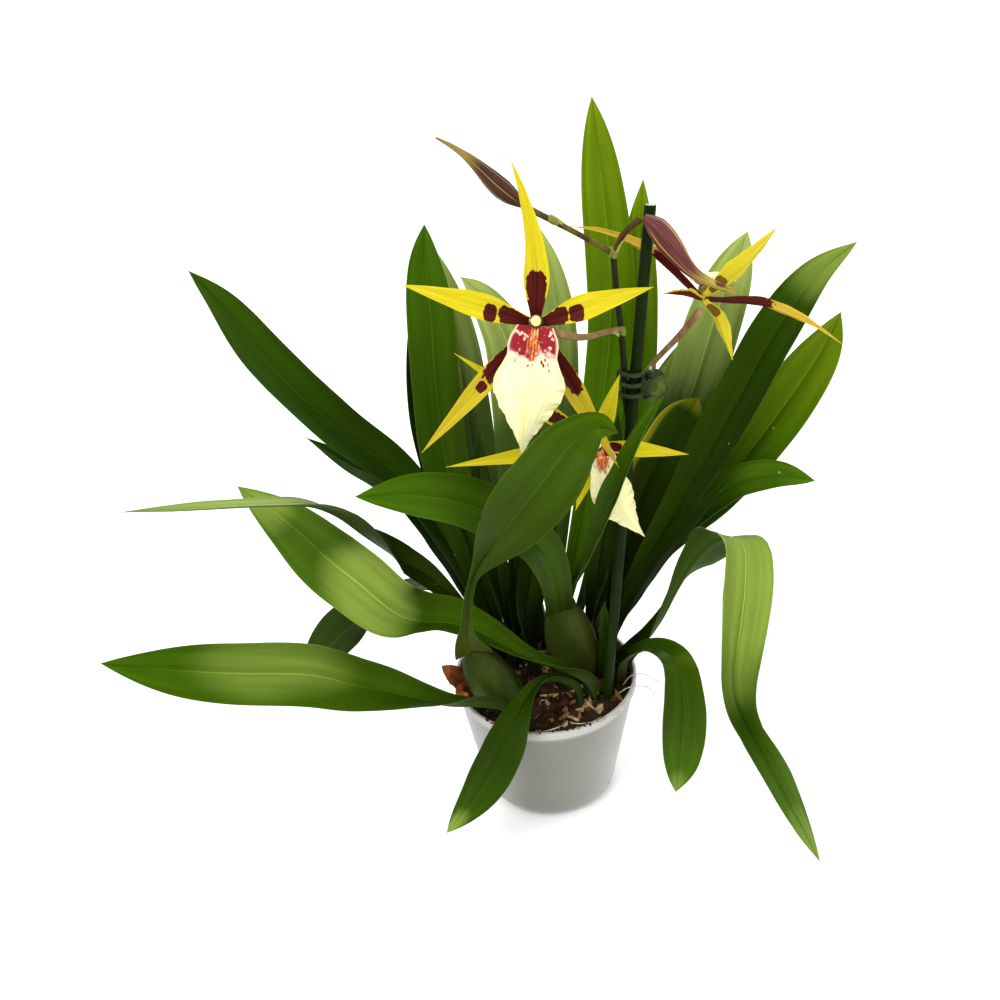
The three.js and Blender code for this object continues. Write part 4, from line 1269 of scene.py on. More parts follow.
@dataclass(frozen=True)
class Bulb:
    """Flattened oval bulb that leans from its foot to its apex."""

    node: str
    foot: tuple[float, float]
    apex: Point
    wide: float
    deep: float
    belly: float = 0.4
    below: float = 0.56
    above: float = 0.61
    slimmest: float = 0.16
    ridge: float = 0.035
    rows: int = 40
    sides: int = 56

    def build(self, skin: Material) -> None:
        """Makes the bulb with its shallow ridges."""
        turn = turns(self.sides)
        share = np.linspace(0, 1, self.rows + 1)
        rings = []
        for h in share:
            reach = (self.belly - h) / self.below if h < self.belly else (h - self.belly) / self.above
            size = max(math.sqrt(max(0.0, 1 - reach * reach)), self.slimmest)
            ridge = 1 - self.ridge * np.abs(np.cos(3 * turn + 0.6)) ** 3 * math.sin(math.pi * h)
            x = self.foot[0] + (self.apex[0] - self.foot[0]) * h + size * self.wide * np.cos(turn) * ridge
            y = self.foot[1] + (self.apex[1] - self.foot[1]) * h + size * self.deep * np.sin(turn) * ridge
            z = np.full(self.sides, GROUND + h * (self.apex[2] - GROUND))
            rings.append(np.stack([x, y, z], axis=1))
        uv = (share, np.linspace(0, 1, self.sides + 1))
        piece = ringed(f"{self.node}_body", np.array(rings), [skin], None, uv, 60.0)
        settle(piece, [self.node])


@dataclass(frozen=True)
class Leaf:
    """One leaf: its node, its blade and its skin."""

    node: str
    tone: LeafTone
    blade: Blade
    slot: str = "leaf"
    gleams: tuple[Gleam, ...] = ()


LEAVES: tuple[Leaf, ...] = (
    Leaf("leaf_left_long", LeafTone.DARK, Blade(
        ((-34, 11, GROUND), (-37, 14, 110), (-47, 17, 149), (-60, 19, 192), (-84, 18, 236),
         (-116, 15, 272), (-147.5, 12, 317), (-166, 12, 352), (-178.5, 12, 370)),
        30, (RIGHT, (0.4, -0.6, 0.6), (0.3, -0.6, 0.7), (0.3, -0.6, 0.7)), foot=11, widest=0.6, point=4,
        fold=(50, 28, 24, 20, 14))),
    Leaf("leaf_left_short", LeafTone.DARK, Blade(
        ((-33, 21, GROUND), (-38, 22, 104), (-52, 24, 146), (-67, 26, 189), (-86, 22, 223),
         (-98, 21, 234), (-109, 20, 242), (-133, 16, 265)),
        21, (RIGHT, (0.3, -0.4, 0.8), (0, -0.4, 0.9))), "leaf_deep"),
    Leaf("leaf_left_strap", LeafTone.STRAP, Blade(
        ((-30, 0, GROUND), (-37, 3, 110), (-54, 7, 143), (-71, 8.3, 166), (-84, 2.5, 182.5),
         (-93, -5, 198), (-103, -14, 215), (-115, -29, 239), (-126, -38, 251), (-146, -50, 260),
         (-181, -66, 270), (-212, -76, 276)),
        24, (RIGHT, (0.3, -0.6, 0.6), (0.1, -0.6, 0.7), (0, 0, 1), (0, 0.2, 0.9), (0, 0.2, 0.9),
         (0, -0.1, 1)), foot=10, neck=0.15, widest=0.48, point=2.2),
        gleams=(Gleam(0.78, 0.0, 0.2, 2.0, 0.8),)),
    Leaf("leaf_left_broad", LeafTone.BRIGHT, Blade(
        ((30, -27, GROUND + 2), (25, -28.5, 102), (15.5, -29.5, 112), (1, -30, 119.5), (-15, -27.5, 127),
         (-29, -22.5, 134.5), (-42, -17, 140), (-58, -13, 144), (-75, -12, 146), (-89, -13, 152.5),
         (-111, -18, 183), (-126, -21, 204), (-142, -25, 230), (-165, -32, 262)),
        42, (BACK, (0, 0.2, 1), (-0.1, 0, 1), (-0.1, -0.1, 1), (0, -0.6, 0.7), VIEW, VIEW, VIEW), foot=13,
        neck=0.12, widest=0.58, point=2.8, fold=(40, 26, 24, 26, 34, 16, 8, 10, 12), ripple=0.9, rows=76),
        gleams=(Gleam(0.62, 0.1, 0.15, 1.5, 1.0), Gleam(0.94, 0.0, 0.09, 1.4, 0.8))),
    Leaf("leaf_left_low", LeafTone.GREEN, Blade(
        ((-22, -40.5, GROUND + 0.4), (-29, -43, 98), (-43, -46, 105.5), (-61, -50, 111),
         (-84, -54, 122.5), (-113, -58, 137), (-138, -60, 149), (-183, -64, 158), (-220, -68, 167.5),
         (-250, -72, 178)),
        37, (BACK, UP, VIEW, VIEW, VIEW), widest=0.55, point=3, rows=76),
        gleams=(Gleam(0.62, 0.3, 0.2, 1.2, 0.42),)),
    Leaf("leaf_left_under", LeafTone.DARK, Blade(
        ((-41, 17, GROUND), (-45, 18, 106), (-54, 20, 128), (-66, 19, 147), (-82, 15, 153),
         (-97, 11, 151), (-114, 5, 143), (-131, -1, 131), (-147, -6, 113), (-157, -9, 94)),
        36, (RIGHT, (0.1, 0.2, 1), (-0.1, 0.5, 0.9), (-0.3, 0.9, 0), (-0.2, 0.9, -0.3)), foot=12,
        widest=0.6, point=2.6), "leaf_deep"),
    Leaf("leaf_back_left", LeafTone.GREEN, Blade(
        ((-25, 26, GROUND), (-30, 27, 100), (-41, 30, 153), (-50, 32, 199), (-55, 33, 242),
         (-55.5, 34, 282), (-54.5, 34, 325), (-54.5, 32, 360), (-52.5, 30, 381)),
        29.5, ((0.5, -0.8, 0), (0.2, -1, 0), (0.1, -1, 0.1)), foot=14, widest=0.6, point=5,
        fold=(50, 24, 14, 10, 12))),
    Leaf("leaf_back_left_dark", LeafTone.SHADED, Blade(
        ((-28, 36, GROUND), (-33, 36, 100), (-46, 41, 155), (-56, 44, 207), (-62, 46, 257),
         (-63, 47, 302), (-60, 46, 345)),
        28, ((0.5, -0.8, 0), (0.4, -0.9, 0), (0.3, -0.9, 0))), "leaf_deep"),
    Leaf("leaf_back_middle", LeafTone.BACKLIT, Blade(
        ((-19, 38, GROUND), (-22, 38, 102), (-28, 42, 151), (-35, 46, 209), (-39, 49, 263),
         (-43, 49, 310), (-46, 48, 341), (-48, 46, 361)),
        30, ((0.2, -1, 0), (0.1, -1, 0.1)), widest=0.56, point=4), "leaf_pale"),
    Leaf("leaf_back_curved", LeafTone.BACKLIT, Blade(
        ((-10, 32, GROUND), (-9, 34, 104), (-7, 38, 148), (-8, 45, 205), (-8, 47, 260), (-12, 47, 305),
         (-20, 46, 325), (-27, 45, 337), (-35.5, 44, 346)),
        30, ((-0.2, -1, 0), (0, -1, 0.1), (0.2, -0.9, 0.4)), widest=0.55, point=5), "leaf_pale"),
    Leaf("leaf_back_tall", LeafTone.BACKLIT, Blade(
        ((1, 30, GROUND), (7, 33, 115), (13, 39, 176), (17, 42, 234), (19, 44, 284), (18, 43, 323),
         (15, 41, 350), (11, 40, 371)),
        24, (FRONT, (0, -1, 0.1)), widest=0.6, point=4), "leaf_pale"),
    Leaf("leaf_small_point", LeafTone.SHADED, Blade(
        ((-23, 9, GROUND), (-24, 11, 128), (-28, 10, 174), (-31, 8, 211), (-33, 6, 241), (-31, 5, 266)),
        17, (RIGHT, (0.4, -0.9, 0), (0.2, -1, 0)))),
    Leaf("leaf_centre_tall", LeafTone.FRESH, Blade(
        ((6, 22, GROUND), (10, 24, 100), (23, 28.5, 157), (35.5, 32, 214), (44, 36, 267), (49, 38, 310),
         (49, 40, 351), (45, 42, 395), (40.5, 42, 438)),
        27, ((0.2, -1, 0), FRONT, (0, -1, 0.1)), widest=0.6, point=5.2, rows=70)),
    Leaf("leaf_behind_stake", LeafTone.FRESH, Blade(
        ((20, 27, GROUND), (25, 30, 104), (44, 43.5, 163), (57, 47, 227), (66, 46, 280), (67, 44, 325),
         (66.5, 44, 360), (68, 42, 394)),
        24, (LEFT, (-0.5, -0.9, 0), (-0.2, -1, 0)), point=5)),
    Leaf("leaf_front_big", LeafTone.OLIVE, Blade(
        ((-44.5, -29, 132.9), (-47.5, -35, 150), (-46, -40, 170), (-43, -43.5, 190), (-37.5, -49, 208),
         (-20, -60, 240), (-1, -68, 270), (16, -74, 296), (29, -76, 305), (38, -76, 301)),
        40, (FRONT, (0, -1, 0.1), (0.1, -1, 0.2), (0.2, -0.9, 0.5), (0.3, -0.8, 0.6), (0.3, -0.8, 0.6)),
        foot=6.5, sheath=18, clasp=0.17, neck=0.32, widest=0.65, point=3.0,
        fold=(16, 34, 46, 24, 14, 10, 16), rows=76)),
    Leaf("leaf_front_oval", LeafTone.GREEN, Blade(
        ((10.5, -9, 143.6), (9.5, -15, 158), (7, -21, 181), (1.5, -26, 200), (-6, -31.5, 214),
         (-21, -38, 232), (-44, -44, 249), (-70, -50, 259), (-98, -56, 264)),
        31, ((0.2, -1, 0.1), (0.2, -0.9, 0.4), (0.1, -0.7, 0.7), (0, -0.6, 0.8), VIEW), foot=17,
        widest=0.62, point=2.5, fold=(4, 12, 20, 10, 10))),
    Leaf("leaf_front_folded", LeafTone.DARK, Blade(
        ((20, -33.5, GROUND + 1), (18, -33, 100), (8, -34, 110), (-3, -40, 115.5), (-12, -50, 115),
         (-20.5, -60, 106), (-29, -66, 90), (-46.5, -74, 60), (-69.5, -80.5, 33)),
        26, (BACK, (0, 0.5, 1), (-0.1, -0.5, 0.9), VIEW, VIEW, VIEW), foot=7, neck=0.24, widest=0.58,
        fold=(50, 40, 18, 10, 12)),
        gleams=(Gleam(1.0, 0.0, 0.15, 1.2, 0.9),)),
    Leaf("leaf_right_front", LeafTone.DARK, Blade(
        ((38, 13, GROUND), (45, 14, 106), (62.5, 17, 145), (84.5, 18, 190), (104, 18, 232),
         (123, 16, 275), (138, 14, 310), (157, 10, 344), (175.5, 4, 363)),
        29, (LEFT, (-0.5, -0.7, 0.5), (-0.4, -0.7, 0.5), (-0.3, -0.7, 0.6)), widest=0.66, point=3.4,
        fold=(60, 30, 18, 14, 12), rows=70),
        gleams=(Gleam(1.0, 0.0, 0.13, 2.0, 0.7),)),
    Leaf("leaf_right_back", LeafTone.FRESH, Blade(
        ((46, 22, GROUND), (53.5, 24.5, 112), (69, 27, 138), (86.5, 29, 163), (100, 30, 179.5),
         (113, 30, 195.5), (134.5, 30, 228), (154.5, 28, 262), (171, 24, 296), (176.5, 18, 319)),
        35, (LEFT, (-0.5, -0.7, 0.5), (-0.4, -0.8, 0.5), (-0.3, -0.9, 0.4)), foot=8, neck=0.16,
        widest=0.62, point=3.6, fold=(60, 40, 20, 10, 12))),
    Leaf("leaf_right_small", LeafTone.GREEN, Blade(
        ((43, 17, GROUND), (52.5, 18.5, 114), (68, 20, 146), (90, 19, 180), (102, 18, 194.5),
         (112, 16, 206), (123, 13, 216), (145, 8, 222.5), (168, 5, 218)),
        20, (LEFT, (-0.4, -0.5, 0.7), (0, -0.6, 0.8), (0, -0.7, 0.7)), foot=7, neck=0.3, widest=0.78)),
    Leaf("leaf_right_narrow", LeafTone.SHADED, Blade(
        ((38, 3, GROUND), (47, 1.5, 115), (59.5, 1, 144), (77, 1, 175), (95, 0, 202), (115, -2, 229)),
        14, (LEFT, (-0.6, -0.3, 0.7), (-0.5, -0.4, 0.7))), "leaf_deep"),
    Leaf("leaf_right_bent", LeafTone.BRIGHT, Blade(
        ((50, 4, GROUND), (59, 3, 98), (68, 0, 112), (75.5, -5, 131.5), (81, -12, 153.5), (86, -21, 174),
         (92, -33, 195), (99, -43, 212), (106, -53, 220), (109, -62, 218), (108.5, -69, 209),
         (107.5, -74, 197), (105.5, -79, 184), (103, -84, 167), (101.5, -88, 151), (103, -92, 136),
         (109, -95, 121), (119, -98.5, 100), (130, -102, 76), (157, -107, 15)),
        29, ((-0.9, -0.3, 0.3), (-0.8, -0.1, 0.5), (-0.5, 0.5, 0.6), (0.4, 0.8, 0.2), (0.45, -0.2, 0.9),
         (0, -0.9, 0.3), (0, -1, 0.2), (0, -1, 0.1), (0.1, -0.9, 0.3), (0, -0.9, 0.3), (-0.2, -0.9, 0.3)),
        foot=10, sheath=7, neck=0.19, widest=0.4, point=3.2,
        fold=(20, 30, 30, 20, 8, 24, 44, 58, 42, 36, 16), rows=110, ripple=0.8),
        gleams=(Gleam(0.5, 0.2, 0.17, 1.6, 0.75), Gleam(0.97, 0.0, 0.12, 1.6, 0.5),)),
    Leaf("leaf_right_hanging", LeafTone.GREEN, Blade(
        ((50, -9.7, GROUND), (52.3, -11, 103), (60, -14, 112.5), (67, -17, 117), (74, -24, 119.5),
         (79, -31.5, 118.5), (82, -38, 112), (83.5, -43, 98), (83.5, -47.5, 78), (82, -51, 53),
         (78.5, -54, 26)),
        28, ((-0.7, 0.2, 0.5), (-0.2, 0.1, 1), (-0.1, -0.2, 1), (-0.1, -0.9, 0.4), (-0.2, -1, 0.2),
         (-0.2, -1, 0.2)), foot=11, neck=0.1, widest=0.64, point=2.6, fold=(40, 20, 16, 14, 14)),
        gleams=(Gleam(1.0, 0.0, 0.13, 1.2, 0.6),)),
    Leaf("leaf_back_right", LeafTone.BACKLIT, Blade(
        ((36, 34, GROUND), (42, 38, 104), (62, 43, 150), (82, 47, 203), (101, 48, 263), (112.5, 47, 310),
         (121, 45, 340), (127.5, 43, 361)),
        33, (LEFT, (-0.4, -0.9, 0.1), (-0.2, -1, 0.1)), widest=0.6, point=6), "leaf_pale"),
    Leaf("leaf_back_right_short", LeafTone.BACKLIT, Blade(
        ((29, 43, GROUND), (41, 52, 102), (60, 61, 149), (76, 66, 199), (88.5, 67, 249), (98, 65, 290)),
        34, (LEFT, (-0.4, -0.9, 0.1), (-0.2, -1, 0.1)), widest=0.58, point=3.4), "leaf_pale"),
    Leaf("leaf_right_cupped", LeafTone.RIMMED, Blade(
        ((40.5, 30, GROUND), (48.5, 30.8, 107), (56.5, 34, 149), (66, 35.5, 191), (77.5, 36.5, 219),
         (89.5, 36, 243), (101.5, 33, 265)),
        32, (LEFT, (-0.3, -0.9, 0.2), (-0.2, -0.9, 0.3), (-0.3, -0.9, 0.4)), widest=0.72, point=6,
        fold=(60, 28, 16, 20, 28)), "leaf_deep", (Gleam(0.8, -1.0, 0.34, 0.3, 1.0),
         Gleam(1.0, 0.0, 0.06, 1.4))),
    Leaf("leaf_inner_left", LeafTone.SHADED, Blade(
        ((-9, 6, GROUND), (-11, 6, 110), (-9, 7, 140), (-3, 10, 171), (7, 13, 205), (17, 15, 237)),
        20, (RIGHT, (0.1, -0.9, 0.3), (0.2, -0.9, 0.2)), foot=14, widest=0.4), "leaf_deep"),
    Leaf("leaf_inner_right", LeafTone.SHADED, Blade(
        ((29, 16.5, GROUND), (32, 17, 104), (37, 19, 147), (44, 22, 190), (50, 24, 230), (52, 25, 263)),
        16, (LEFT, (-0.3, -0.9, 0.2), (-0.3, -0.9, 0.2))), "leaf_deep"),
    Leaf("leaf_apex_narrow", LeafTone.GREEN, Blade(
        ((17, -2.5, 148.9), (19.5, -6, 160), (24.5, -17, 180), (34, -38, 222), (42, -47, 253),
         (50, -51, 278), (57, -54, 297), (64, -55, 309)),
        18, ((-0.9, -0.1, 0), (-0.7, -0.4, 0.4), (-0.8, -0.3, 0.5)), foot=5, fold=(50, 40, 34, 30, 20))),
    Leaf("sheath_front", LeafTone.DARK, Blade(
        ((39, -9, GROUND), (39.8, -9, 106), (39.5, -8.5, 128), (38.5, -8, 148)),
        10, ((-0.3, -0.95, 0), (-0.3, -0.95, 0)), foot=9, widest=0.4, fold=(16, 16, 14), rows=30)),
)


@dataclass
class Foliage:
    """Every leaf, bulb and sheath of the clump."""

    leaves: tuple[Leaf, ...] = LEAVES
    bulbs: tuple[Bulb, ...] = (
        Bulb("bulb_front", (22, -3), (12.5, -3, 149), 17, 9),
        Bulb("bulb_left", (-27, -29), (-43, -26, 132.5), 17, 9),
        Bulb("bulb_back_left", (-4, 43), (-6, 47, 124), 9, 6),
        Bulb("bulb_back_right", (17, 41), (20, 46, 116), 8, 6),
    )
    seed_step: float = 1.7

    def build(self) -> None:
        """Makes the foliage."""
        skins = {tone: (tone.value.material(), tone.value.material(under=True)) for tone in LeafTone}
        for k, leaf in enumerate(self.leaves):
            upper, lower = skins[leaf.tone]
            if leaf.gleams:
                upper = leaf.tone.value.material(gleams=leaf.gleams, mark=leaf.node.removeprefix("leaf"))
            piece = replace(leaf.blade, seed=self.seed_step * k).build(f"{leaf.node}_blade", upper, lower)
            settle(piece, [leaf.node])
        young = Blade(((-17, 13, GROUND + 0.5), (-17.5, 14, 120), (-16, 15, 160), (-13, 16, 195)), 11,
                      (RIGHT, (0.4, -0.9, 0), (0.2, -0.9, 0)), foot=8, rows=40)
        settle(young.build("young_leaf_blade", *skins[LeafTone.SHADED]), [])
        green = Skin(
            "bulb_green", "1c2406", "2a340a", "3c4612", 0.45, 24.0, (1, 1, 0.35), 0.0005, 0.1, 0.12
        ).material()
        for bulb in self.bulbs:
            bulb.build(green)
        self._dry_sheath()

    @staticmethod
    def _dry_sheath() -> None:
        """Makes the papery sheath beside the left bulb."""
        paper = Skin(
            "dry_paper", "34160c", "6c3416", "a0642c", 0.8, 70.0, (1, 1, 0.2), 0.0008, shine=0.2
        ).material()
        foot = (-47, -24, GROUND + 1)
        layers = (
            ("outer", (foot, (-52, -24, 98), (-57, -23, 108), (-66, -22, 118)), 15, (0.4, -0.8, 0.4),
             0.45, 24, 16),
            ("inner", (foot, (-52, -27, 99), (-54, -31, 104), (-55, -37, 98)), 11, (-0.2, -0.6, 0.8),
             0.4, 20, 12),
        )
        pair = [
            Blade(
                path, width, ((0.8, -0.4, 0.3), look), widest=widest, fold=(30, *fold), thick=0.5, edge=0.25,
                ripple=1.4, waves=4, groove=0, keel=0,
            ).build(f"sheath_{name}", paper, paper)
            for name, path, width, look, widest, *fold in layers
        ]
        settle(join("dry_sheath_paper", pair), ["dry_sheath"])


# Flower spike, buds and blooms.


@dataclass
class Spike:
    """Dark stem with its nodes, stalks and two buds."""

    stem: tuple[Point, ...] = (
        (42, -14, GROUND), (42, -15, 112), (44.7, -12.5, 150), (49, -8.6, 200), (53, -5, 245), (54, -3, 272),
        (51.9, -4.3, 286), (51, -7, 297), (50.5, -8.8, 307), (49.6, -10, 318), (48.5, -10, 330),
        (46.5, -8, 350), (45, -6, 371),
    )
    fork: Point = (45, -6, 369)

    def build(self) -> None:
        """Makes the stem, its stalks, the bracts at its nodes and the buds."""
        rods = [*self._stalks(), *self._knots(), *self._bracts()]
        settle(join("flower_spike_stem", rods), ["flower_spike"])
        self._buds()

    def _stalks(self) -> list[Piece]:
        """Makes the stem and the stalks of the blooms and buds."""
        dark = Skin(
            "spike_dark", "0e0f05", "191a08", "2e2a12", 0.5, 60.0, (1, 1, 0.15), 0.0003, shine=0.12
        ).material()
        brown = Skin(
            "stalk_brown", "5c4030", "83653f", "a78c5a", 0.5, 90.0, (1, 1, 0.4), 0.0004, 0.05, 0.2
        ).material()
        dusk = Skin(
            "stalk_dusk", "2c1c10", "463617", "66601f", 0.5, 90.0, (1, 1, 0.4), 0.0004, shine=0.12
        ).material()
        rods = [Rod(self.stem, (2.4, 2.1, 2.0, 1.8, 1.6), 16, 110, bumps=0.02).build("stem", dark)]
        stalks = (
            ("front", ((48.5, -10, 329), (40, -18, 331), (26, -28, 333), (14, -34, 338), (4.9, -38.5, 344.7)),
             (1.5, 1.6, 2, 2.2), 40),
            ("back", ((53.4, -4.5, 258), (56, 4, 272), (62, 9, 288), (70, 8, 301), (81, -2, 319),
                      (87.5, -10, 332), (90, -12.6, 337.6)), (1.4, 1.4, 1.6, 1.9, 2.1), 50),
            ("low", ((53, -5, 250), (47, -4, 254), (41, -6, 258), (36.5, -11, 262), (34.7, -16, 265)),
             (1.4, 1.5, 1.7, 2), 30),
        )
        for name, path, radii, rows in stalks:
            rods.append(Rod(path, radii, 18, rows, 6, 0.12).build(f"stalk_{name}", brown))
        path = (self.fork, (25, -12, 383), (7, -18, 395), (-1, -21.4, 400.4))
        left = Rod(path, (1.6, 1.4, 1.5, 1.7), bumps=0.03)
        right = Rod((self.fork, (50, -8, 379), (58, -9.6, 386.5)), (1.6, 1.6, 1.8), rows=24)
        return [*rods, left.build("stalk_bud_left", dusk), right.build("stalk_bud_right", dusk)]

    @staticmethod
    def _knots() -> list[Piece]:
        """Makes the swollen nodes of the stem."""
        skin = Skin("spike_knot", "444a14", "666c20", "868a34", 0.5, 120.0, soft=0.1).material()
        knots = (
            ("top", ((46, -7, 366.5), (45, -6.2, 369.5), (44, -6, 372.5)), (1.3, 2.5, 2.5, 1.2)),
            ("middle", ((49.6, -9.9, 325), (48.9, -10.2, 329), (47.6, -10.6, 331)), (1.4, 2.3, 2.2, 1.2)),
            ("left", ((17, -14.6, 388.6), (14, -15.6, 390.6), (10.5, -16.8, 392.8)), (1.3, 2.0, 1.9, 1.4)),
        )
        return [Rod(path, radii, rows=12).build(f"knot_{name}", skin) for name, path, radii in knots]

    @staticmethod
    def _bracts() -> list[Piece]:
        """Makes the small papery bracts at the nodes."""
        papery = PetalSkin("bract", (), "9c8f45", "b5ab62", "5c1218", margin="7d6d3c").material()
        bracts = (
            ((47.5, -8.5, 370), (49.5, -9.5, 375), (52.5, -10.5, 379), (1, -0.3, -0.4)),
            ((47.6, -12.2, 327.5), (44.5, -14.5, 330), (41, -17.5, 330), (0, -0.4, 1)),
            ((55.6, -4.2, 256), (57, -2, 262), (58, 1, 268), (0.8, -0.5, 0)),
            ((20.5, -13.8, 388), (16, -15.2, 392), (11.5, -16.4, 395), (0.3, -0.2, 1)),
        )
        return [
            Blade(
                path, 4.2, (look, look), foot=4, widest=0.3, fold=(-40, -30, -10), thick=0.4, edge=0.2,
                groove=0, keel=0, ripple=0.1, rows=16,
            ).build(f"bract_{k}", papery, papery)
            for k, (*path, look) in enumerate(bracts)
        ]

    @staticmethod
    def _buds() -> None:
        """Makes the two closed buds."""
        left = BudSkin("bud_left_skin", "2a1614", "4c2824", "94803c", 6.0, "8f7f36", 0.6).material()
        body = Rod(
            ((-1.5, -21.6, 401), (-12, -24, 411), (-25, -26, 425), (-33, -27, 431.5), (-40, -28, 436)),
            (1.8, 4.2, 5, 4.5, 3.4, 2.4, 1.5, 1, 0.4), 42, 60, 6, 0.07,
        )
        settle(body.build("bud_left_body", left), ["bud_left"])
        right = BudSkin("bud_right_skin", "3a171b", "6c3835", "b8944a", 3.0, "a89a3c", 0.66).material()
        body = Rod(
            ((60, -10.3, 387.6), (66, -12.2, 383), (73, -16, 374), (84, -22, 361), (104, -28, 351)),
            (2, 5.4, 6.2, 5.6, 4.2, 3.1, 2.3, 1.6, 0.5), 48, 70, 3, 0.13,
        )
        pieces = [body.build("bud_right_core", right)]
        for k, (bend, lift) in enumerate(((1.2, 1.4), (-1.4, -1.2))):
            end = (103, -27.5 - bend, 351.2 + lift * 1.6)
            path = ((92, -24.6, 356.4), (98, -26.2 - bend, 353.6 + lift), end)
            pieces.append(Rod(path, (1.4, 1.2, 0.8, 0.25), rows=18).build(f"bud_tip_{k}", right))
        settle(join("bud_right_body", pieces), ["bud_right"])


class TepalTone(Enum):
    """The body, glow and margin colours of a tepal."""

    FRESH = ("bcae10", "ccc22a", "a8901c")
    GOLDEN = ("ac9a1c", "beac2c", "94781a")
    DULL = ("b8982a", "ccb23c", "94641f")


@dataclass(frozen=True)
class Tepal:
    """One petal or sepal of a bloom."""

    name: str
    tip: Point
    width: float
    bow: float
    sway: float = 0.0
    twist: float = 0.0
    marks: tuple[Blotch, ...] = ()
    tone: TepalTone = TepalTone.FRESH
    widest: float = 0.42
    point: float = 1.3
    through: float = 0.7


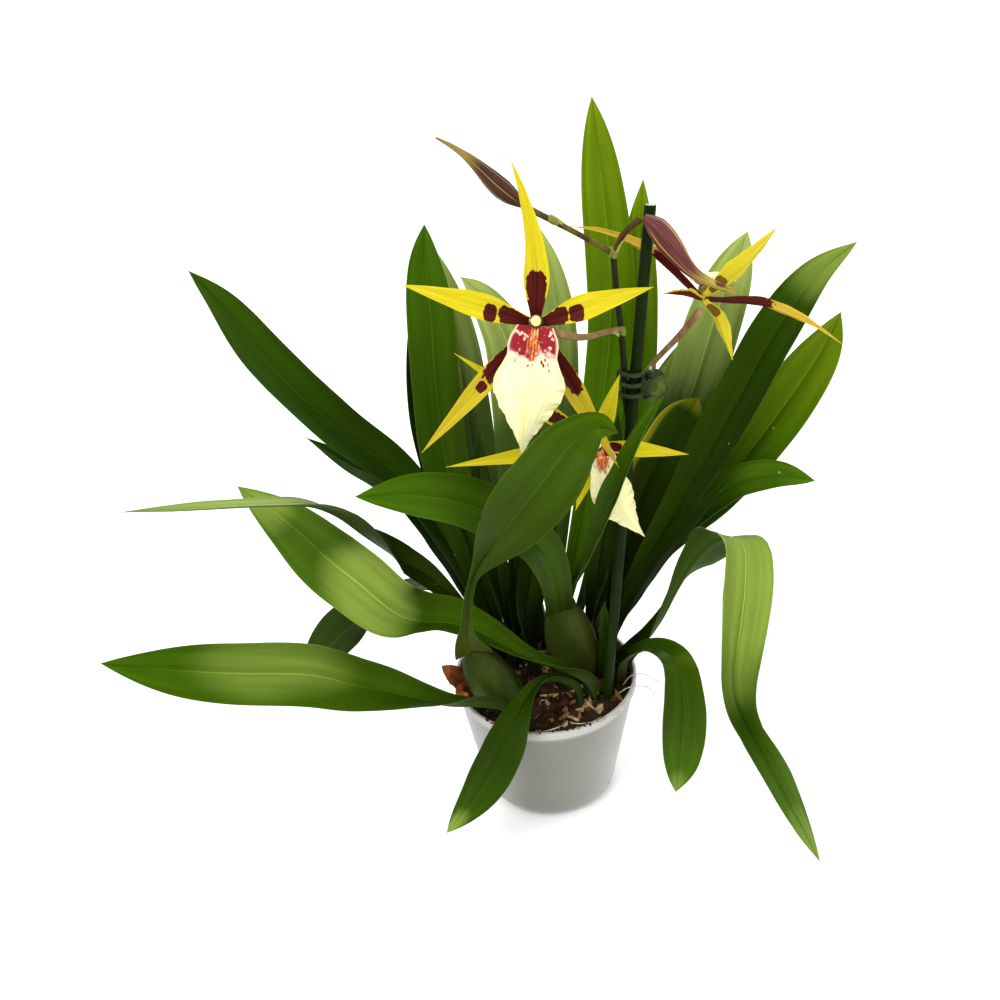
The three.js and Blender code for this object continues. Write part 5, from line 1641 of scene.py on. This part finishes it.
@dataclass(frozen=True)
class Bloom:
    """A star-shaped bloom: five tepals, a broad lip and a column."""

    name: str
    centre: Point
    face: Point
    tepals: tuple[Tepal, ...]
    lip_tip: Point
    lip_width: float
    lip_bow: float
    lip_sway: float = 0.0
    lip_spread: float = 1.0

    @property
    def heart(self) -> Array:
        """The middle of the bloom."""
        return np.array(self.centre, float)

    @property
    def look(self) -> Array:
        """The direction that the bloom faces, at length 1."""
        return unit(np.array(self.face, float))

    def _way(self, start: Array, tip: Array, bow: float, sway: float) -> tuple[Point, ...]:
        """Path between two points, bowed towards the face and swayed to one side."""
        across = unit(np.cross(tip - start, self.look))
        bend = self.look * bow + across * sway
        span = tip - start
        return as_points((start, start + 0.45 * span + bend, start + 0.8 * span + bend * 0.6, tip))

    def _ahead(self, *reaches: float) -> tuple[Point, ...]:
        """Points straight in front of the bloom's middle, at some distances."""
        return as_points(self.heart + self.look * reach for reach in reaches)

    def build(self) -> None:
        """Makes the bloom's pieces."""
        for tepal in self.tepals:
            self._tepal(tepal)
        self._lip()
        self._column()

    def _tepal(self, tepal: Tepal) -> None:
        """Makes one petal or sepal."""
        tip = np.array(tepal.tip, float)
        start = self.heart + 0.8 * unit(tip - self.heart)
        body, glow, margin = tepal.tone.value
        name = f"{self.name}_{tepal.name}"
        skin = PetalSkin(f"{name}_skin", tepal.marks, body, glow, margin=margin, through=tepal.through)
        blade = Blade(
            self._way(start, tip, tepal.bow, tepal.sway), tepal.width, as_points((self.look, self.look)),
            foot=5, widest=tepal.widest, point=tepal.point, fold=(14, 16, 14, 10), thick=0.8, edge=0.35,
            end=0.18, groove=0.25, keel=0.35, ripple=0.35, waves=2.5, twist=tepal.twist, rows=64,
            seed=float(len(tepal.name)),
        )
        piece = blade.build(name, skin.material(), skin.material(under=True))
        settle(piece, [f"{self.name}_tepals"])

    def _lip(self) -> None:
        """Makes the lip and the ridges at its throat."""
        look = self.look
        start = self.heart + look * 7.8
        tip = np.array(self.lip_tip, float)
        out = unit(tip - start)
        start = start + 2.2 * out
        way = self._way(start, tip, self.lip_bow, self.lip_sway)
        skin = LipSkin(f"{self.name}_lip_skin", self.lip_spread)
        blade = Blade(
            way, self.lip_width, as_points((look, look)), fold=(20, 4, -8, -12, -12, -8), thick=0.7,
            edge=0.35, end=0.2, groove=0.3, keel=0.2, ripple=1.3, waves=8, rows=90,
            shape=(0.5, 0.64, 0.69, 0.66, 0.78, 0.92, 1.0, 0.97, 0.88, 0.74, 0.57, 0.4, 0.24, 0.1, 0.02),
        )
        piece = blade.build(f"{self.name}_lip_blade", skin.material(), skin.material(under=True))
        settle(piece, [f"{self.name}_lip"])
        skin = Skin(f"{self.name}_ridge", "a53318", "c9612a", "e9c98a", 0.5, 500.0, soft=0.1).material()
        across = np.cross(out, look)
        height = np.array([0.2, 0.8, 0.8, 0.0])[:, None]
        ridges = ((-1.5, 0.01, 0.2, 0.75), (1.5, 0.01, 0.2, 0.75), (0.0, 0.02, 0.24, 0.8),
                  (-3.0, 0.1, 0.21, 0.5), (3.0, 0.1, 0.21, 0.5))
        rods = []
        for k, (shift, first, last, size) in enumerate(ridges):
            line = SmoothPath(way).at(np.linspace(first, last, 4)) + across * shift + look * height
            radii = (0.4, size, 1.1 * size, 0.8 * size, 0.3)
            rods.append(Rod(as_points(line), radii, 10, 20, bumps=0.1).build(f"{self.name}_ridge_{k}", skin))
        settle(join(f"{self.name}_callus", rods), [])

    def _column(self) -> None:
        """Makes the column, its pale cap and the dark ring behind it."""
        base = Skin(f"{self.name}_column_skin", "6b2a22", "a8873c", "d8c46a", 0.5, 200.0, soft=0.1).material()
        cap = Skin(f"{self.name}_cap_skin", "d8cc6c", "e6dc88", "f0e8a4", 0.4, 200.0, soft=0.2).material()
        dusk = Skin(f"{self.name}_heart_skin", "2c1a0a", "43300e", "5e4a18", 0.5, 200.0, shine=0.2).material()
        start, middle, end = self._ahead(2.4, 5.4, 8.4)
        raised = (middle[0], middle[1], middle[2] + 1.2)
        rods = [
            ("stem", (start, raised, end), (1.5, 1.8, 2.3, 2.6, 2.3), 20, 24, base),
            ("nose", self._ahead(7.6, 9.0, 10.2), (1.6, 2.3, 2.5, 2.2, 0.7), 20, 16, cap),
            ("heart", self._ahead(6.3, 7.0, 7.5), (3.0, 3.8, 3.2), 24, 6, dusk),
        ]
        for k, side in enumerate((-1, 1)):
            inner, outer = (np.array(point) for point in self._ahead(6.0, 7.6))
            ends = (inner + side * np.array([2.0, 0, -0.6]), outer + side * np.array([2.9, 0, -1.2]))
            rods.append((f"wing_{k}", as_points(ends), (0.5, 1.0, 0.5), 10, 8, base))
        parts = [
            Rod(path, radii, sides, rows).build(f"{self.name}_{name}", skin)
            for name, path, radii, sides, rows, skin in rods
        ]
        settle(join(f"{self.name}_column_body", parts), [f"{self.name}_column"])


BLOOMS: tuple[Bloom, ...] = (
    Bloom(
        "bloom_front", (2, -42, 347), (-0.05, -0.85, 0.5),
        (
            Tepal("dorsal", (-6.5, -40, 427), 13, 3, 5, 20,
                  (Blotch(0.08, 0.0, 0.09, 1.4), Blotch(0.2, 0.0, 0.14, 0.84)), widest=0.3, point=1.05),
            Tepal("petal_left", (-62, -48, 374), 13, 5, 0, -15,
                  (Blotch(0.15, -0.1, 0.145, 1.0), Blotch(0.355, -0.3, 0.05, 0.72))),
            Tepal("petal_right", (59, -48, 364), 13, 5, 0, 15,
                  (Blotch(0.15, 0.1, 0.13, 1.0), Blotch(0.35, 0.3, 0.065, 0.72))),
            Tepal("sepal_left", (-61, -50, 284), 11, 0.5, 0, -20,
                  (Blotch(0.22, 0.0, 0.2, 1.0), Blotch(0.465, -0.1, 0.035, 0.5)), tone=TepalTone.GOLDEN),
            Tepal("sepal_right", (42, -50, 267), 11, 2, 0, 20, (Blotch(0.25, -0.25, 0.22, 0.75),),
                  tone=TepalTone.GOLDEN),
        ),
        (-9, -55, 282), 37, 6,
    ),
    Bloom(
        "bloom_back", (92, -9, 342), (0.3, 0.75, 0.6),
        (
            Tepal("petal_far_left", (25, 14, 379), 9, 11, marks=(Blotch(0.2, -0.3, 0.24, 0.8),),
                  tone=TepalTone.DULL, through=1.0),
            Tepal("petal_far_right", (163, -24, 318), 9, 9, marks=(Blotch(0.2, 0.0, 0.27, 1.4),),
                  tone=TepalTone.DULL, through=1.0),
            Tepal("dorsal", (127, -14, 379), 12, -2, marks=(Blotch(0.2, 0.2, 0.1, 0.8),), through=0.85),
            Tepal("sepal_near", (107, -20, 311), 9, 6, marks=(Blotch(0.2, 0.2, 0.12, 0.7),), through=0.85),
            Tepal("sepal_left", (67, -24, 352), 9, 2, marks=(Blotch(0.4, 0.3, 0.45, 1.0),),
                  tone=TepalTone.DULL, through=1.0),
        ),
        (112, 38, 338), 26, 6,
    ),
    Bloom(
        "bloom_low", (34, -21, 266), (-0.1, -0.85, 0.5),
        (
            Tepal("dorsal", (-40, -33, 331), 10, 4, marks=(Blotch(0.2, 0.0, 0.2, 0.8),)),
            Tepal("petal_up", (46, -24, 309), 10, 3, marks=(Blotch(0.16, 0.0, 0.15, 0.8),)),
            Tepal("petal_left", (-50, -34, 266), 9, 4, marks=(Blotch(0.2, 0.0, 0.2, 0.8),)),
            Tepal("petal_right", (84, -26, 259), 9, 2, marks=(Blotch(0.14, 0.0, 0.12, 0.8),)),
            Tepal("sepal_low", (20, -33, 232), 9, -4, marks=(Blotch(0.25, 0.0, 0.2, 0.8),)),
        ),
        (59, -34, 212), 24, 3.5, 5, 0.55,
    ),
)


# Stake and clip.


@dataclass
class Stake:
    """Dark green coated rod that holds the spike up."""

    foot: tuple[float, float] = (38, -24)
    head: tuple[float, float] = (65, 0)
    head_z: float = 391.0
    top: float = 85.3
    end_z: float = 27.0
    radius: float = 3.15
    sides: int = 32
    rows: int = 90

    def at(self, z: float) -> Point:
        """Middle of the rod at a height."""
        k = (z - self.top) / (self.head_z - self.top)
        x, y = (low + (high - low) * k for low, high in zip(self.foot, self.head))
        return (x, y, z)

    def build(self) -> None:
        """Makes the rod and its cut end."""
        coat = Skin(
            "stake_green", "0b1503", "121f06", "1e2c0b", 0.48, 45.0, (1, 1, 0.12), 0.0003, shine=0.07
        ).material()
        cut = Skin("stake_cut", "7c8d76", "9aab92", "b6c2ac", 0.7, 300.0).material()
        path = (self.at(self.end_z), self.at(self.head_z))
        rod = Rod(path, (self.radius,) * 4, self.sides, self.rows, bumps=0.008).build("rod", coat)
        path = (self.at(self.head_z - 0.5), self.at(self.head_z + 0.05))
        lid = Rod(path, (self.radius - 0.5,) * 2, self.sides, 3).build("lid", cut)
        settle(join("stake_rod", [rod, lid]), ["stake"])


@dataclass
class Clip:
    """Claw clip: two jaws of wavy tines on a pin, each with a round finger pad."""

    stake: Stake
    z: float = 296.0
    height: float = 18.0
    ring: float = 6.3
    bar: float = 1.7
    bar_sides: int = 20
    bar_power: float = 0.45
    tine: float = 2.2
    tines: int = 3
    tine_rows: int = 40
    gap: float = 0.35
    pin: float = 0.9
    knuckle: float = 2.2
    arm: float = 4.5
    arm_reach: float = 4.2
    arm_thick: float = 1.8
    arm_side: float = 1.6
    pad: float = 6.2
    pad_sides: int = 48
    pad_thick: float = 1.8
    pad_reach: float = 4.0
    pad_stand: float = 6.6
    lever: float = 6.0
    splay: float = 12.0
    centre: float = -2.4

    @property
    def pin_x(self) -> float:
        """Distance of the pin from the stake's middle."""
        return self.centre + self.ring + self.bar + self.knuckle + 0.2

    def place(self) -> Matrix:
        """Where the clip sits on the stake, in millimetres."""
        low, high = Vector(self.stake.at(self.z - 1)), Vector(self.stake.at(self.z + 1))
        axis = (high - low).normalized()
        right = (Vector(RIGHT) - axis * axis.x).normalized()
        back = axis.cross(right)
        matrix = Matrix((right, back, axis)).transposed().to_4x4()
        matrix.translation = Vector(self.stake.at(self.z))
        return matrix

    def _world(self, points: Iterable[Point]) -> tuple[Point, ...]:
        """Carries points of the clip to their place."""
        matrix = self.place()
        return tuple(tuple(matrix @ Vector(p)) for p in points)

    def _upright(self, z: float, half: float) -> tuple[Point, ...]:
        """Three points on the pin's line, at a height and as far below and above it."""
        return self._world([(self.pin_x, 0, z - half), (self.pin_x, 0, z), (self.pin_x, 0, z + half)])

    def build(self) -> None:
        """Makes both jaws and the pin."""
        plastic = Skin(
            "clip_green", "142009", "223212", "38481f", 0.34, 90.0, relief=0.0002, shine=0.2
        ).material()
        # painted sheen: a lighter olive on the pad's dished middle
        sheen = Skin(
            "clip_pad_sheen", "28340c", "364210", "4e5a1e", 0.34, 90.0, relief=0.0002, shine=0.2
        ).material()
        metal = Skin("clip_pin", "8a8c8a", "a9aba8", "c4c6c2", 0.3, 200.0).material()
        back = self._jaw("clip_jaw_back_teeth", 1, 0.0, plastic, sheen)
        front = self._jaw("clip_jaw_front_teeth", -1, self.tine + self.gap, plastic, sheen)
        settle(back, ["clip_jaw_back"])
        settle(front, ["clip_jaw_front"], JAW)
        path = self._upright(0, self.height / 2 + 0.5)
        pin = Rod(path, (self.pin,) * 5, 20, 12, even=False).build("clip_pin_rod", metal)
        settle(pin, ["clip_pin"])

    def _bar(
        self, name: str, line: Array, out: Array, thick: float, tall: float, material: Material
    ) -> Piece:
        """Makes a bar with rounded edges along a line.

        Args:
            name: the object's name.
            line: the middle of the bar, point by point.
            out: the direction of its thickness, or one for each point.
            thick: its thickness.
            tall: its height.
            material: its material.

        Returns:
            The object.
        """
        turn = turns(self.bar_sides)
        cos, sin = np.cos(turn), np.sin(turn)
        a = np.sign(cos) * np.abs(cos) ** self.bar_power * thick / 2
        b = np.sign(sin) * np.abs(sin) ** self.bar_power * tall / 2
        ends = np.ones((len(line), 1))
        ends[[0, -1]] = 0.45
        ends[[1, -2]] = 0.85
        out = np.broadcast_to(out, line.shape)
        rings = line[:, None] + out[:, None] * (a * ends)[..., None] + np.array(UP) * (b * ends)[..., None]
        points = np.array(self._world(rings.reshape(-1, 3)))
        return ringed(name, points.reshape(rings.shape), [material], crease=60.0)

    def _arc(
        self, name: str, span: tuple[float, float], z: float, tall: float, wave: float, skin: Material
    ) -> Piece:
        """Makes a curved bar round the stake.

        Args:
            name: the object's name.
            span: the angles between which it runs, in degrees.
            z: the height of its lower edge.
            tall: its height.
            wave: how far it rises and falls.
            skin: its material.

        Returns:
            The object.
        """
        angle = np.radians(np.linspace(*span, self.tine_rows))
        out = np.stack([np.cos(angle), np.sin(angle), np.zeros(self.tine_rows)], axis=1)
        line = out * (self.ring + self.bar / 2) + np.array([self.centre, 0, z + tall / 2])
        line[:, 2] += wave * np.sin(np.linspace(0, 1.5 * FULL_TURN, self.tine_rows))
        return self._bar(name, line, out, self.bar, tall, skin)

    def _jaw(self, name: str, side: int, offset: float, plastic: Material, sheen: Material) -> Piece:
        """Makes one jaw.

        Args:
            name: the piece's name.
            side: 1 for the back jaw and -1 for the front one.
            offset: how far its tines are raised, so that the two sets pass each other.
            plastic: the material of the tines.
            sheen: the material of the pad's middle, a painted sheen.

        Returns:
            The jaw.
        """
        pitch = self.height / self.tines
        low = -self.height / 2 + offset
        parts = [
            self._arc(f"tine_{k}", (side * 10, side * 187), low + k * pitch, self.tine, 0.12, plastic)
            for k in range(self.tines)
        ]
        tall = self.height - pitch + self.tine
        parts.append(self._arc("spine", (side * 8, side * 40), low, tall, 0.0, plastic))
        radii = (self.knuckle * 0.9, self.knuckle, self.knuckle, self.knuckle * 0.9)
        for k in (0, self.tines - 1):
            z = low + k * pitch + self.tine / 2
            knuckle = Rod(self._upright(z, self.tine / 2), radii, 24, 6, even=False)
            parts.append(knuckle.build(f"knuckle_{k}", plastic))
            x = self.pin_x - self.arm + self.arm_reach * np.linspace(0, 1, 6)
            arm = np.stack([x, np.full(6, side * self.arm_side), np.full(6, z)], axis=1)
            parts.append(self._bar(f"arm_{k}", arm, np.array(BACK), self.arm_thick, self.tine, plastic))
        tilt = math.radians(self.splay)
        lean = np.array([math.cos(tilt), side * math.sin(tilt), 0])
        out = np.array([-side * math.sin(tilt), math.cos(tilt), 0])
        middle = np.array([self.pin_x + self.pad_reach, side * self.pad_stand, 0])
        root = middle - lean * (self.pad_reach + self.arm_thick + self.arm)
        lever = root + (middle - root) * np.linspace(0, 1, 10)[:, None]
        parts.append(self._bar("lever", lever, out, self.pad_thick, self.lever, plastic))
        parts.append(self._pad(middle, out * side, plastic, sheen))
        return join(name, parts)

    def _pad(self, middle: Array, out: Array, plastic: Material, sheen: Material) -> Piece:
        """Makes a round finger pad with a raised rim and a dished middle.

        Args:
            middle: its centre.
            out: the direction that its dished face looks in.
            plastic: the material of its rim and back.
            sheen: the material of its middle, a painted sheen.

        Returns:
            The object.
        """
        half = self.pad_thick / 2
        outline = [(0.02, -half), (self.pad - 0.7, -half), (self.pad - 0.15, -half + 0.3), (self.pad, 0.0),
                   (self.pad - 0.15, half - 0.3), (self.pad - 0.6, half), (self.pad - 1.2, half),
                   (self.pad - 1.6, half - 0.35), (self.pad * 0.4, half - 0.5), (0.02, half - 0.55)]
        dish = 7
        across = np.cross(UP, out)
        frame = np.array([across, np.cross(out, across), out])
        rings = np.array(self._world((lathe(outline, self.pad_sides) @ frame + middle).reshape(-1, 3)))
        rows = len(outline) - 1
        slots = [0] * self.pad_sides * dish + [1] * self.pad_sides * (rows - dish) + [0, 1]
        rings = rings.reshape(len(outline), self.pad_sides, 3)
        return ringed("pad", rings, [plastic, sheen], slots, crease=45.0)


# Studio.


@dataclass(frozen=True)
class Lamp:
    """A soft square lamp."""

    name: str
    at: Point
    aim: Point
    size: float
    power: float

    def build(self) -> None:
        """Adds the lamp."""
        data = bpy.data.lights.new(self.name, "AREA")
        data.shape = "SQUARE"
        data.size = self.size
        data.energy = self.power
        lamp = add_object(self.name, data)
        lamp.location = self.at
        lamp.rotation_mode = "QUATERNION"
        lamp.rotation_quaternion = (Vector(self.aim) - Vector(self.at)).to_track_quat("-Z", "Y")


@dataclass
class Studio:
    """Pale floor, soft light and the camera."""

    eye: Point = (-0.022, -0.513, 0.525)
    pitch: float = 30.5
    roll: float = -4.0
    lens: float = 36.0
    sensor: float = 36.0
    paper: tuple[float, float] = (0.965, 0.98)
    floor_reach: float = 30000.0
    surround: float = 1.05
    lamps: tuple[Lamp, ...] = (
        Lamp("key", (-0.9, -0.9, 1.7), (0.0, 0.0, 0.2), 0.9, 26.0),
        Lamp("fill", (1.4, -0.6, 1.0), (0.0, 0.0, 0.2), 1.4, 9.0),
        Lamp("rim", (0.4, 1.4, 1.5), (0.0, 0.0, 0.25), 1.2, 14.0),
    )

    def build(self) -> None:
        """Sets up floor, light and camera."""
        self._floor()
        self._light()
        self._camera()

    def _floor(self) -> None:
        """Makes a wide floor that is never seen to end."""
        s = Shader("floor_pale")
        low, high = ((tone, tone, tone, 1.0) for tone in self.paper)
        material = s.finish(s.ramp(s.noise(s.place(), 3.0, 2.0), (0.3, low), (0.7, high)), 0.9)
        corners = np.array([(-1, -1, 0), (1, -1, 0), (1, 1, 0), (-1, 1, 0)]) * self.floor_reach
        floor = make_object("floor", corners, [(0, 1, 2, 3)], [material])

    def _light(self) -> None:
        """Sets the bright surround and the lamps."""
        world = bpy.data.worlds.new("surround")
        world.use_nodes = True
        sky = world.node_tree.nodes["Background"]
        sky.inputs["Color"].default_value = (1.0, 1.0, 1.0, 1.0)
        sky.inputs["Strength"].default_value = self.surround
        scene = bpy.context.scene
        scene.world = world
        for lamp in self.lamps:
            lamp.build()
        scene.view_settings.view_transform = "Standard"
        scene.view_settings.exposure = 0.0

    def _camera(self) -> None:
        """Stands the camera where the plant was looked at from."""
        data = bpy.data.cameras.new("camera")
        data.sensor_fit = "HORIZONTAL"
        data.sensor_width = self.sensor
        data.lens = self.lens
        data.clip_start = 0.01
        data.clip_end = 100.0
        camera = add_object("camera", data)
        tilt = Matrix.Rotation(math.radians(90 - self.pitch), 4, "X")
        roll = Matrix.Rotation(math.radians(self.roll), 4, "Z")
        camera.matrix_world = Matrix.Translation(self.eye) @ tilt @ roll
        bpy.context.scene.camera = camera


def main() -> None:
    """Builds the whole scene."""
    logging.basicConfig(level=logging.INFO, format="%(message)s")
    Studio().build()
    pot = Pot()
    pot.build()
    Substrate(pot).build()
    Foliage().build()
    Spike().build()
    for bloom in BLOOMS:
        bloom.build()
    stake = Stake()
    stake.build()
    Clip(stake).build()


if __name__ == "__main__":
    main()
